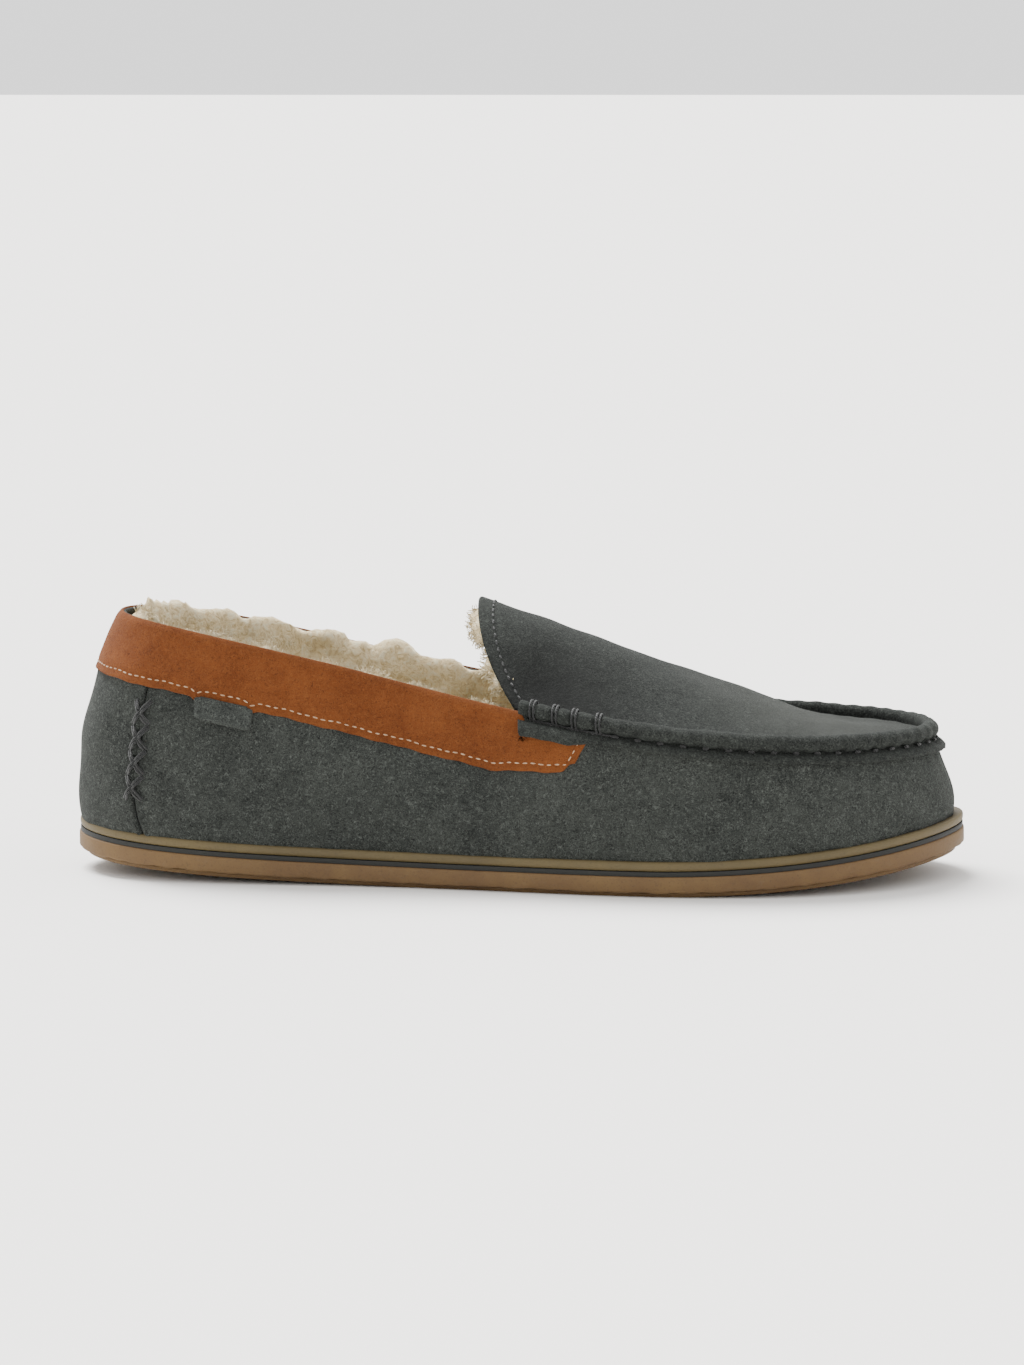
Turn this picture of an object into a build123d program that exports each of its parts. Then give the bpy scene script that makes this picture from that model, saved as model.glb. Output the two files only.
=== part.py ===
"""A moccasin house slipper for the right foot, as the separate pieces it is lasted and sewn from.

Millimetres. +X runs from the heel to the toe, +Z is up and -Y is the outer side of the foot.
The origin is the middle of the sole's outline, on the floor.
"""

from build123d import *
from math import cos, pi, sqrt
import os

os.makedirs("parts", exist_ok=True)

# Driving dimensions ----------------------------------------------------------------------

HEEL_X = -147.75  # back of the sole
TOE_X = 147.75  # tip of the sole
SOLE_LENGTH = TOE_X - HEEL_X

# Outline of the sole from the heel, along the outer side to the toe, and back on the inner side.
SOLE_OUTLINE = [
    (HEEL_X, 1), (-137, -24), (-112, -36), (-68, -39), (-20, -43), (28, -51), (66, -53),
    (102, -46), (130, -28), (TOE_X, 8), (136, 35), (110, 49), (74, 53), (36, 49),
    (-10, 41.5), (-62, 38.5), (-112, 36), (-138, 24),
]

# The sole is flat between two stations and rolls up to a heel and a toe rocker.
FLAT_HEEL_X, FLAT_TOE_X = -8.0, 42.0
HEEL_ROCKER, TOE_ROCKER = 1650.0, 600.0

OUTSOLE = 6.8  # thickness of the moulded rubber outsole, tread included
STRIPE = 1.6  # thin dark layer in the middle of the edge
TOP_BAND = 3.2  # upper layer of the edge
SOLE_TOP = OUTSOLE + STRIPE + TOP_BAND
GLUE = 0.02  # glue line between stacked layers
TREAD_DEPTH, TREAD_WIDTH, TREAD_PITCH, TREAD_EDGE = 1.6, 3.0, 9.0, 7.0

SUEDE = 1.5  # upper leather
BAND_SUEDE = 1.25  # collar band leather
STIFFENER = 1.15  # heel counter and toe puff
PILE_IN = 7.4  # depth inside the upper where the sheepskin pile ends
BOARD, FOAM, FOOTBED = 1.8, 5.0, 7.0
STRIP_IN = 14.0  # how far the strip under the board reaches in

BAND_WIDTH = 19.6  # collar band, from the top line down
BAND_FRONT_X = 22.5
BAND_LEVEL_X = -5.0  # in front of this the band's lower edge runs level
TONGUE_FOOT_X = 4.5  # where the apron's back edge meets the side
SEAM_X = -122.0  # the two heel seams
WELT_HEIGHT = 4.2  # raised seam above the side's top edge
WELT_WIDTH = 3.2
FLANGE_DROP = 4.2  # lower edge of the apron's flange below the side's top edge

TAB_X, TAB_LENGTH, TAB_HEIGHT, TAB_SUEDE = -93.6, 17.2, 5.4, 1.2

CLEAR = 90.0  # beyond the slipper on every side
UNDER = -8.0  # below the floor
STATIONS = [-170, -150, -132, -112, -90, -66, -40, -16, 4, 26, 50, 76, 104, 132, 165]


# Curves of the last ----------------------------------------------------------------------


def top_line(x):
    """Height of the side's top edge: the collar at the back, the raised seam at the front."""
    return 47.0 + 43.0 * ((1 + cos(pi * (min(x, 145) + 185) / 330)) / 2) ** 1.4


def band_bottom(x):
    return max(top_line(x), top_line(BAND_LEVEL_X)) - BAND_WIDTH


def heel_at(z):
    """Furthest back that the upper reaches at a height."""
    return HEEL_X + 0.004 * (z - 24) ** 2


def toe_at(z):
    return TOE_X - 3.0 - 0.0105 * (z - 20) ** 2


def width_at(z):
    """Width of the upper at a height, as a share of the sole's width."""
    return 0.80 + 0.0925 * (1 + cos(pi * (z - 20) / 80))


def crown_rise(x):
    """Height of the apron's ridge line above its edge."""
    share = (1 + cos(pi * (min(x, 155) + 40) / 195)) / 2
    return 32.6 * share**0.95


def tongue_edge_x(z):
    """The apron's back edge leans back as it rises, and its top corner turns forward."""
    rise = (z - top_line(TONGUE_FOOT_X)) / 30.0
    return TONGUE_FOOT_X - 21.5 * rise + 5.5 * max(rise, 0) ** 3


def floor_line(x, lift):
    """Height of the sole's running curve, raised by lift."""
    if x > FLAT_TOE_X:
        return TOE_ROCKER - sqrt((TOE_ROCKER - lift) ** 2 - (x - FLAT_TOE_X) ** 2)
    if x < FLAT_HEEL_X:
        return HEEL_ROCKER - sqrt((HEEL_ROCKER - lift) ** 2 - (x - FLAT_HEEL_X) ** 2)
    return lift


def ring_points(height_of, inset):
    """The upper's outline, each point taken at height_of(x) and moved in by inset."""
    shifted = []
    for x, y in SOLE_OUTLINE:
        z = height_of(x)
        t = (x - HEEL_X) / SOLE_LENGTH
        moved = x + (heel_at(z) - HEEL_X) * (1 - t) ** 3 + (toe_at(z) - TOE_X) * t**3
        shifted.append(Vector(moved, y * width_at(z)))
    return moved_in(shifted, inset)


def moved_in(points, inset):
    """Points of a clockwise or anticlockwise outline, each moved towards the inside."""
    out = []
    for i, here in enumerate(points):
        along = (points[(i + 1) % len(points)] - points[i - 1]).normalized()
        out.append(here + Vector(-along.Y, along.X) * inset)
    return out


def rim_height(x):
    return top_line(min(x, 136))


# Cutting bodies --------------------------------------------------------------------------


def last_body(inset):
    """The upper's outer shape as a solid, moved in by inset."""
    with BuildPart() as body:
        for z in (6, 20, 34, 48, 62, 78, 98):
            with BuildSketch(Plane.XY.offset(z)):
                with BuildLine():
                    Spline(*ring_points(lambda x: z, inset), periodic=True)
                make_face()
        loft()
    return body.part


def sole_prism(inset):
    """The sole's outline, upright, moved in by inset."""
    with BuildPart() as prism:
        with BuildSketch(Plane.XY.offset(-10)):
            with BuildLine():
                Spline(*moved_in([Vector(*p) for p in SOLE_OUTLINE], inset), periodic=True)
            make_face()
        extrude(amount=60)
    return prism.part


def rim_prism(inset):
    """The plan of the side's top edge, upright, moved in by inset."""
    with BuildPart() as prism:
        with BuildSketch():
            with BuildLine():
                Spline(*ring_points(rim_height, inset), periodic=True)
            make_face()
        extrude(amount=130)
    return prism.part


def sole_slab(low, high):
    """Everything between two lifts of the sole's running curve."""
    x0, x1 = HEEL_X - 12, TOE_X + 12

    def run(lift):
        Line((FLAT_HEEL_X, lift), (FLAT_TOE_X, lift))
        for a, b in ((FLAT_TOE_X, x1), (FLAT_HEEL_X, x0)):
            middle = (a + b) / 2
            ThreePointArc((a, lift), (middle, floor_line(middle, lift)), (b, floor_line(b, lift)))

    with BuildPart() as slab:
        with BuildSketch(Plane.XZ):
            with BuildLine():
                run(low)
                run(high)
                for x in (x0, x1):
                    Line((x, floor_line(x, low)), (x, floor_line(x, high)))
            make_face()
        extrude(amount=CLEAR, both=True)
    return slab.part


def side_region(low, high, x0=-CLEAR * 2, x1=CLEAR * 2):
    """Everything between two heights, which are functions of x, and two stations."""
    xs = [x0] + [x for x in STATIONS if x0 + 4 < x < x1 - 4] + [x1]
    with BuildPart() as region:
        with BuildSketch(Plane.XZ):
            with BuildLine():
                for height in (low, high):
                    Spline(*[(x, height(x)) for x in xs])
                for x in (x0, x1):
                    Line((x, low(x)), (x, high(x)))
            make_face()
        extrude(amount=CLEAR, both=True)
    return region.part


def ahead_of_tongue_edge(setback):
    """Everything in front of the apron's back edge, moved back by setback."""
    heights = [44, 56, 66, 76, 84, 92, 102]
    with BuildPart() as region:
        with BuildSketch(Plane.XZ):
            with BuildLine():
                Spline(*[(tongue_edge_x(z) - setback, z) for z in heights])
                Polyline(
                    (tongue_edge_x(heights[-1]) - setback, heights[-1]),
                    (TOE_X, heights[-1]),
                    (TOE_X, 20),
                    (tongue_edge_x(heights[0]) - setback, 20),
                    (tongue_edge_x(heights[0]) - setback, heights[0]),
                )
            make_face()
        extrude(amount=CLEAR, both=True)
    return region.part


def samples(points):
    """Points along the closed curve through the points given."""
    with BuildLine():
        ring = Spline(*points, periodic=True)
    return [ring @ (i / 360) for i in range(360)]


RIM_SAMPLES = samples(ring_points(rim_height, 0))
SOLE_SAMPLES = samples([Vector(*p) for p in SOLE_OUTLINE])


def both_sides(outline, x):
    """Outer and inner side of a sampled outline at a station, as two values of y."""
    found = []
    for i, b in enumerate(outline):
        a = outline[i - 1]
        if (a.X - x) * (b.X - x) <= 0 and a.X != b.X:
            found.append(a.Y + (b.Y - a.Y) * (x - a.X) / (b.X - a.X))
    return min(found), max(found)


def apron_height(x, y, depth=0.0):
    """Height of the apron's outer face, or of a face that lies depth under it."""
    outer, inner = both_sides(RIM_SAMPLES, min(max(x, -60), 134))
    middle, half = (outer + inner) / 2, (inner - outer) / 2
    turn = max(min((y - middle) / half, 1), -1) * pi / 2
    rise = crown_rise(x)
    slope = rise * pi / 2 / half * sqrt(1 - cos(turn) ** 2)
    return top_line(x) - 0.5 + rise * cos(turn) - depth * sqrt(1 + slope**2)


def dome(depth):
    """Everything under the apron's outer face, lowered by depth square to the face."""
    with BuildPart() as body:
        for x in (-36, -18, 0, 20, 40, 62, 84, 106, 126, 146):
            outer, inner = both_sides(RIM_SAMPLES, min(x, 134))
            ys = [outer + (inner - outer) * share / 12 for share in range(13)]
            ys = [-CLEAR] + ys + [CLEAR]
            with BuildSketch(Plane.YZ.offset(x)):
                with BuildLine():
                    Spline(*[(y, apron_height(x, y, depth)) for y in ys])
                    Polyline(
                        (CLEAR, apron_height(x, CLEAR, depth)), (CLEAR, 10),
                        (-CLEAR, 10), (-CLEAR, apron_height(x, -CLEAR, depth)),
                    )
                make_face()
        loft()
    return body.part


def wall_point(side, x, z, inset):
    """A point on the upper's wall, with its direction along the wall and its outward normal.

    side is -1 on the outer side of the foot and +1 on the inner side.
    """
    with BuildLine():
        ring = Spline(*ring_points(lambda _: z, inset), periodic=True)
    low, high = (0.0, 0.5) if side < 0 else (1.0, 0.5)
    for _ in range(30):
        middle = (low + high) / 2
        if (ring @ middle).X < x:
            low = middle
        else:
            high = middle
    along = (ring % low) * (1 if side < 0 else -1)
    out = Vector(along.Y, -along.X) * (1 if side < 0 else -1)
    return ring @ low, along, out


def thread(start, end, radius):
    """One straight run of thread between two points."""
    with BuildPart(mode=Mode.PRIVATE) as run:
        with BuildSketch(Plane(origin=start, z_dir=end - start)):
            Circle(radius)
        extrude(amount=(end - start).length)
    return run.part


def write(part, name):
    part.label = name
    export_step(part, f"parts/{name}.step")
    box = part.bounding_box()
    print(f"{name:28s} {len(part.solids()):3d} solids {part.volume / 1000:8.2f} cm3  {box.size}")


# Shapes that several pieces are cut from, worked out once.
LAST = {d: last_body(d) for d in (-1.4, -BAND_SUEDE - 0.05, -0.05, 0.0, SUEDE, SUEDE + 0.1)}
LAST.update({d: last_body(d) for d in (SUEDE + 0.1 + STIFFENER, SUEDE + 0.2 + STIFFENER, PILE_IN)})
LAST.update({d: last_body(d) for d in (SUEDE + 0.5, PILE_IN + 0.2, STRIP_IN, STRIP_IN + 0.2)})


# Sole ------------------------------------------------------------------------------------

with BuildPart() as outsole:
    add(sole_prism(0))
    add(sole_slab(0, OUTSOLE), mode=Mode.INTERSECT)

with BuildPart() as tread_slots:
    with BuildSketch(Plane.XY.offset(-10)):
        for n in range(-14, 15):
            x = n * TREAD_PITCH + 2
            if -128 < x < -62 or 15 < x < 128:
                outer, inner = both_sides(SOLE_SAMPLES, x)
                with Locations((x, (outer + inner) / 2)):
                    SlotOverall(inner - outer - 2 * TREAD_EDGE, TREAD_WIDTH, rotation=90)
    extrude(amount=60)
    add(sole_slab(UNDER, TREAD_DEPTH), mode=Mode.INTERSECT)

with BuildPart() as treaded_outsole:
    add(outsole.part)
    add(tread_slots.part, mode=Mode.SUBTRACT)
write(treaded_outsole.part, "outsole")

with BuildPart() as sole_stripe:
    add(sole_prism(0.9))
    add(sole_slab(OUTSOLE + GLUE, OUTSOLE + STRIPE), mode=Mode.INTERSECT)
write(sole_stripe.part, "sole_stripe")

with BuildPart() as sole_top_band:
    add(sole_prism(0.6))
    add(sole_slab(OUTSOLE + STRIPE + GLUE, SOLE_TOP), mode=Mode.INTERSECT)
write(sole_top_band.part, "sole_top_band")


# Inside of the slipper, from the filler up ------------------------------------------------

BOARD_FOOT = SOLE_TOP + SUEDE + GLUE
BOARD_TOP = BOARD_FOOT + BOARD
FOAM_TOP = BOARD_TOP + FOAM
FOOTBED_TOP = FOAM_TOP + FOOTBED


def floor_layer(inset, low, high):
    with BuildPart() as layer:
        add(LAST[inset])
        add(sole_slab(low + GLUE, high), mode=Mode.INTERSECT)
    return layer.part


with BuildPart() as lasting_strip:
    add(floor_layer(SUEDE + 0.1, SOLE_TOP, BOARD_FOOT))
    add(LAST[STRIP_IN], mode=Mode.SUBTRACT)
write(lasting_strip.part, "lasting_strip")

write(floor_layer(STRIP_IN + 0.2, SOLE_TOP, BOARD_FOOT), "bottom_filler")
write(floor_layer(SUEDE + 0.5, BOARD_FOOT, BOARD_TOP), "insole_board")
write(floor_layer(PILE_IN + 0.2, BOARD_TOP, FOAM_TOP), "foam_pad")
write(floor_layer(PILE_IN + 0.2, FOAM_TOP, FOOTBED_TOP), "fleece_footbed")


# Upper leather ---------------------------------------------------------------------------


def upper_panel(x0, x1):
    """A stretch of the side, from the sole to the top line."""
    with BuildPart() as panel:
        add(LAST[0.0])
        add(side_region(lambda x: 0, top_line, x0, x1), mode=Mode.INTERSECT)
        add(LAST[SUEDE], mode=Mode.SUBTRACT)
        add(sole_slab(UNDER, SOLE_TOP + GLUE), mode=Mode.SUBTRACT)
    return panel.part


write(upper_panel(SEAM_X + 0.1, 160), "side_wrap")
write(upper_panel(-160, SEAM_X - 0.1), "heel_panel")

APRON_PLAN = rim_prism(WELT_WIDTH + 0.1)
with BuildPart() as apron:
    add(dome(0))
    add(APRON_PLAN, mode=Mode.INTERSECT)
    add(dome(SUEDE), mode=Mode.SUBTRACT)
    add(ahead_of_tongue_edge(0), mode=Mode.INTERSECT)
write(apron.part, "apron")

with BuildPart() as apron_welt:
    add(LAST[-1.4])
    add(
        side_region(lambda x: top_line(x) - FLANGE_DROP, lambda x: top_line(x) + WELT_HEIGHT,
                    TONGUE_FOOT_X, 160),
        mode=Mode.INTERSECT,
    )
    add(rim_prism(WELT_WIDTH), mode=Mode.SUBTRACT)
    with BuildPart(mode=Mode.PRIVATE) as seat:
        add(LAST[-0.05])
        add(side_region(lambda x: 12, lambda x: top_line(x) + GLUE), mode=Mode.INTERSECT)
    add(seat.part, mode=Mode.SUBTRACT)
write(apron_welt.part, "apron_welt")

with BuildPart() as collar_band:
    add(LAST[-BAND_SUEDE - 0.05])
    add(side_region(band_bottom, top_line, -160, BAND_FRONT_X), mode=Mode.INTERSECT)
    add(LAST[-0.05], mode=Mode.SUBTRACT)
    add(
        side_region(lambda x: top_line(x) - FLANGE_DROP - GLUE, lambda x: 120, TONGUE_FOOT_X - 0.1, 60),
        mode=Mode.SUBTRACT,
    )
write(collar_band.part, "collar_band")


# Stiffeners between the leather and the lining -------------------------------------------


def stiffener(top, x0, x1, gap):
    """A stiff layer behind the leather, or with a gap the pocket that holds it in the lining."""
    with BuildPart() as layer:
        add(LAST[SUEDE + 0.1])
        add(side_region(lambda x: 0, top, x0 - gap, x1 + gap), mode=Mode.INTERSECT)
        add(LAST[SUEDE + (0.2 if gap else 0.1) + STIFFENER], mode=Mode.SUBTRACT)
        add(sole_slab(UNDER, BOARD_TOP + 0.2 - gap), mode=Mode.SUBTRACT)
    return layer.part


def counter_top(x):
    return 60 - 0.012 * (x - HEEL_X) ** 2


def puff_top(x):
    return 38.0


write(stiffener(counter_top, -160, -96, 0), "heel_counter")
write(stiffener(puff_top, 104, 160, 0), "toe_puff")


# Sheepskin lining ------------------------------------------------------------------------


def side_lining(top, x0, x1):
    with BuildPart() as lining:
        add(LAST[SUEDE + 0.1])
        add(side_region(lambda x: 0, top, x0, x1), mode=Mode.INTERSECT)
        add(LAST[PILE_IN], mode=Mode.SUBTRACT)
        add(sole_slab(UNDER, BOARD_TOP + GLUE), mode=Mode.SUBTRACT)
    return lining.part


with BuildPart() as quarter_lining:
    add(side_lining(lambda x: top_line(x) + 2.5, -160, TONGUE_FOOT_X - 4))
    add(stiffener(lambda x: counter_top(x) + 0.2, -170, -96, 0.2), mode=Mode.SUBTRACT)
write(quarter_lining.part, "quarter_lining")

with BuildPart() as wrap_lining:
    add(side_lining(lambda x: top_line(x) - 3.4, TONGUE_FOOT_X - 3.9, 160))
    add(stiffener(lambda x: puff_top(x) + 0.2, 104, 170, 0.2), mode=Mode.SUBTRACT)
write(wrap_lining.part, "wrap_lining")

with BuildPart() as apron_lining:
    add(dome(SUEDE + 0.1))
    add(rim_prism(PILE_IN + 0.4), mode=Mode.INTERSECT)
    add(dome(PILE_IN), mode=Mode.SUBTRACT)
    add(ahead_of_tongue_edge(2.5), mode=Mode.INTERSECT)
write(apron_lining.part, "apron_lining")


# Thread ----------------------------------------------------------------------------------


def grouped(runs, name):
    group = Compound(children=runs)
    write(group, name)


def wall_stitches(side, x0, x1, pitch, length, radius, height, inset):
    """A row of stitches along the wall, at a height that follows the station."""
    runs = []
    x = x0
    while x < x1:
        start, along, out = wall_point(side, x, height(x), inset)
        fall = (height(x + 1) - height(x)) / 1.0
        start = Vector(start.X, start.Y, height(x))
        step = Vector(along.X, along.Y, fall * along.X).normalized()
        runs.append(thread(start, start + step * length, radius))
        x += pitch * step.X
    return runs


def topstitch_height(x):
    return band_bottom(x) + 1.9


BAND_ROW = dict(pitch=2.7, length=1.6, radius=0.3, height=topstitch_height, inset=-BAND_SUEDE - 0.2)
rows = wall_stitches(-1, -130, 19, **BAND_ROW) + wall_stitches(1, -130, 19, **BAND_ROW)
grouped(rows, "collar_topstitch")

WELT_ROW = dict(pitch=7.3, length=4.6, radius=0.45, height=lambda x: top_line(x) - 1.4, inset=-1.6)
rows = wall_stitches(-1, 37, 132, **WELT_ROW) + wall_stitches(1, 37, 128, **WELT_ROW)
grouped(rows, "welt_stitches")

tacks = []
for side in (-1, 1):
    for n in range(4):
        for strand in (0, 1.4):
            x = TONGUE_FOOT_X + 5.2 + 6.4 * n + strand
            point, _, out = wall_point(side, x, top_line(x) + 1, -1.7)
            foot = Vector(point.X, point.Y, top_line(x) - 1.6)
            tacks.append(thread(foot, foot + Vector(0, 0, WELT_HEIGHT + 1.2), 0.45))
grouped(tacks, "welt_bar_tacks")


def cross_stitches(side):
    """Four crossed stitches that lace one heel seam."""
    crosses = []
    for n in range(4):
        z = 30.8 + 8.2 * n
        with BuildPart() as cross:
            for low, high in ((-3.1, 3.1), (3.1, -3.1)):
                a, _, _ = wall_point(side, SEAM_X + low, z - 3.7, -0.55)
                b, _, _ = wall_point(side, SEAM_X + high, z + 3.7, -0.55)
                add(thread(Vector(a.X, a.Y, z - 3.7), Vector(b.X, b.Y, z + 3.7), 0.5))
        crosses.append(cross.part)
    return crosses


grouped(cross_stitches(-1), "heel_cross_stitch_outer")
grouped(cross_stitches(1), "heel_cross_stitch_inner")

edge_runs = []
for n in range(-11, 12):
    y = 3.1 * n
    ends = []
    for shift in (-0.9, 0.9):
        z = 70.0
        for _ in range(12):
            z = apron_height(tongue_edge_x(z) + 2.6, y + shift)
        ends.append(Vector(tongue_edge_x(z) + 2.6, y + shift, z + 0.1))
    edge_runs.append(thread(ends[0], ends[1], 0.3))
grouped(edge_runs, "tongue_topstitch")


# Side tab, which is sewn in by its upper edge and hangs free along the wall ---------------

tab_top = band_bottom(TAB_X) - 1.1
tab_gap = -0.5 - TAB_SUEDE / 2
high, run, _ = wall_point(-1, TAB_X, tab_top, tab_gap)
low, _, _ = wall_point(-1, TAB_X, tab_top - TAB_HEIGHT, tab_gap)
hinge = Vector(high.X, high.Y, tab_top)
drop = Vector(low.X, low.Y, tab_top - TAB_HEIGHT) - hinge
fall = band_bottom(TAB_X + 1) - band_bottom(TAB_X)
hinge_run = Vector(run.X, run.Y, fall * run.X).normalized()
with BuildPart() as side_tab:
    with BuildSketch(Plane(origin=hinge, x_dir=hinge_run, z_dir=drop.cross(hinge_run))):
        with Locations((0, -TAB_HEIGHT / 2)):
            RectangleRounded(TAB_LENGTH, TAB_HEIGHT, 0.8)
    extrude(amount=TAB_SUEDE / 2, both=True)
write(side_tab.part, "side_tab")
print("tab hinge at", hinge, "axis", hinge_run * -1)
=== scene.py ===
import math
import bpy
import bmesh
import numpy as np
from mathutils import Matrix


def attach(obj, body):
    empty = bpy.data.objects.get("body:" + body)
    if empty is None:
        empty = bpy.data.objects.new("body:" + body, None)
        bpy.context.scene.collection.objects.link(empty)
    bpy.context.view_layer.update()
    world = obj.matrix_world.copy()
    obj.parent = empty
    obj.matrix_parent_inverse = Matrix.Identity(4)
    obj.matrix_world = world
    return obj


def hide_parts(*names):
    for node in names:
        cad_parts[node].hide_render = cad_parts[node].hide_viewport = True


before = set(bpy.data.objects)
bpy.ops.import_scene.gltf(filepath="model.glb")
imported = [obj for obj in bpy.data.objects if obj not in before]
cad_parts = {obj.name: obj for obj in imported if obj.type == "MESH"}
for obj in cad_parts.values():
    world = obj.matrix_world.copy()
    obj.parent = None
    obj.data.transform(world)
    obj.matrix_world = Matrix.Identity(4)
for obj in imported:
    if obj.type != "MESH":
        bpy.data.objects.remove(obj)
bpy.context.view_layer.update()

mm = 0.001
print("frame loaded:", len(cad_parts), "nodes")


# nodes: one class wraps a socket, one adds nodes to a tree


class Wire:  # an output socket; sums on it become Math nodes
    def __init__(self, net, node, out=0):
        self.net, self.node = net, node
        self.socket = node.outputs[out] if node.outputs else None

    def at(self, out):
        return Wire(self.net, self.node, out)

    def __add__(self, other):
        return self.net.maths("ADD", self, other)

    def __radd__(self, other):
        return self.net.maths("ADD", other, self)

    def __sub__(self, other):
        return self.net.maths("SUBTRACT", self, other)

    def __rsub__(self, other):
        return self.net.maths("SUBTRACT", other, self)

    def __mul__(self, other):
        return self.net.maths("MULTIPLY", self, other)

    def __rmul__(self, other):
        return self.net.maths("MULTIPLY", other, self)


class Net:
    def __init__(self, tree):
        self.tree = tree
        tree.nodes.clear()

    def node(self, kind, settings=None, sockets=None, out=0):
        made = self.tree.nodes.new(kind)
        for key, value in (settings or {}).items():
            setattr(made, key, value)
        for key, value in (sockets or {}).items():
            if isinstance(value, Wire):
                self.tree.links.new(value.socket, made.inputs[key])
            else:
                made.inputs[key].default_value = value
        return Wire(self, made, out)

    def maths(self, operation, first, second=0.0):
        return self.node("ShaderNodeMath", {"operation": operation}, {0: first, 1: second})

    def mix(self, factor, first, second):
        sockets = {0: factor, 6: first, 7: second}
        return self.node("ShaderNodeMix", {"data_type": "RGBA", "blend_type": "MIX"}, sockets, out=2)

    def noise(self, place, scale, detail=2.0, rough=0.5, distortion=0.0):
        sockets = {"Vector": place, "Scale": scale, "Detail": detail, "Roughness": rough,
                   "Distortion": distortion}
        return self.node("ShaderNodeTexNoise", None, sockets)

    def spread(self, value, low, high, toLow=0.0, toHigh=1.0):  # a value's range, moved to another
        sockets = {0: value, 1: low, 2: high, 3: toLow, 4: toHigh}
        return self.node("ShaderNodeMapRange", {"clamp": True}, sockets)


def newMaterial(name):
    material = bpy.data.materials.new(name)
    material.use_nodes = True
    net = Net(material.node_tree)
    place = net.node("ShaderNodeTexCoord").at("Object")
    return material, net, place


def finishMaterial(net, colour, roughness, height, bump, constants):
    # bump is (strength, distance in metres)
    normal = net.node("ShaderNodeBump", None, {"Strength": bump[0], "Distance": bump[1], "Height": height})
    sockets = {"Base Color": colour, "Roughness": roughness, "Normal": normal}
    sockets.update(constants)
    shader = net.node("ShaderNodeBsdfPrincipled", None, sockets)
    net.node("ShaderNodeOutputMaterial", None, {"Surface": shader})


def suede(name, look):
    material, net, place = newMaterial(name)
    stroke = net.noise(place, 26, 3, 0.6, 0.6)  # where the nap has been brushed one way or the other
    patch = net.noise(place, 130, 3, 0.6, 0.4)
    fibre = net.noise(place, 1150, 2, 0.6, 2.4)  # short curled fibres
    grit = net.noise(place, 2600, 2, 0.7)
    nap = net.spread(stroke * 0.5 + patch * 0.5, 0.38, 0.62)
    bent = net.maths("ABSOLUTE", net.noise(place, 560, 2, 0.6, 1.2) - 0.5)
    hair = net.spread(bent, 0.0, 0.05, 1.0, 0.0)  # fine light hairs that wander over the nap
    fleck = hair * 0.6 + net.spread(fibre * 0.7 + grit * 0.3, 0.44, 0.66) * 0.4
    colour = net.mix(nap, look["dark"], look["light"])
    colour = net.mix(fleck * look["fleck"], colour, look["fibre"])
    pit = net.spread(fibre, 0.32, 0.46, 1.0, 0.0)
    colour = net.mix(pit * look["pit"], colour, look["shade"])
    for spot, reach, tone, amount in look.get("paintedShadeAndHighlight", []):  # painted light: spots where the colour is drawn to a darker tone for painted shade or to a lighter one for a painted highlight
        gap = net.node("ShaderNodeVectorMath", {"operation": "DISTANCE"}, {0: place, 1: spot}, out="Value")
        colour = net.mix(net.spread(gap + stroke * 0.012, reach * 0.25, reach, amount, 0.0), colour, tone)
    height = fibre * 0.5 + grit * 0.2 + hair * 0.3
    constants = {"Sheen Weight": look["sheen"], "Sheen Roughness": 0.45, "Sheen Tint": look["sheenTint"],
                 "Specular IOR Level": 0.16}
    finishMaterial(net, colour, 0.93 - nap * 0.06, height, (look["bump"], 0.0007), constants)
    return material


def rubber(name, look):
    material, net, place = newMaterial(name)
    cloud = net.spread(net.noise(place, 45, 4, 0.6, 0.5), 0.35, 0.65)
    speck = net.spread(net.noise(place, 1500, 2, 0.6), 0.56, 0.7)
    scuff = net.spread(net.noise(place, 320, 5, 0.75, 1.2), 0.55, 0.72)
    colour = net.mix(cloud, look["dark"], look["light"])
    colour = net.mix(speck * look["speck"], colour, look["grain"])
    colour = net.mix(scuff * 0.25, colour, look["wear"])
    height = net.noise(place, 1100, 3, 0.7) * 0.6 + net.noise(place, 240, 3, 0.5) * 0.4
    finishMaterial(net, colour, look["rough"] + cloud * 0.1, height, (look["bump"], 0.0004),
                   {"Specular IOR Level": look["gloss"]})
    return material


def wool(name, look):
    material, net, place = newMaterial(name)
    lock = net.spread(net.noise(place, 120, 3, 0.6, 0.8), 0.34, 0.66)
    curl = net.noise(place, look["curlSize"], 3, 0.62, 1.4)  # the small curls that the pile is made of
    hair = net.spread(net.noise(place, 1500, 3, 0.7, 2.0), 0.32, 0.68)
    tip = net.node("ShaderNodeAttribute", {"attribute_name": "tip"}).at("Fac")  # 0 at the skin, 1 at the tip
    colour = net.mix(tip, look["root"], look["tip"])
    colour = net.mix(lock * 0.5, colour, look["warm"])
    # painted shade: the colour darkens in the hollows of the curls, where the bump sinks
    colour = net.mix(net.spread(curl, 0.34, 0.5, 0.75, 0.0), colour, look["deep"])
    # painted highlight: the crowns of the curls are lightened, with light hairs mixed in
    colour = net.mix(net.spread(curl, 0.5, 0.68) * 0.5 + hair * 0.16, colour, look["bright"])
    constants = {"Sheen Weight": 0.4, "Sheen Roughness": 0.6, "Sheen Tint": look["bright"],
                 "Specular IOR Level": 0.15}
    finishMaterial(net, colour, 0.95 - hair * 0.05, curl * 0.8 + hair * 0.2, (0.85, 0.0022), constants)
    return material


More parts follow.
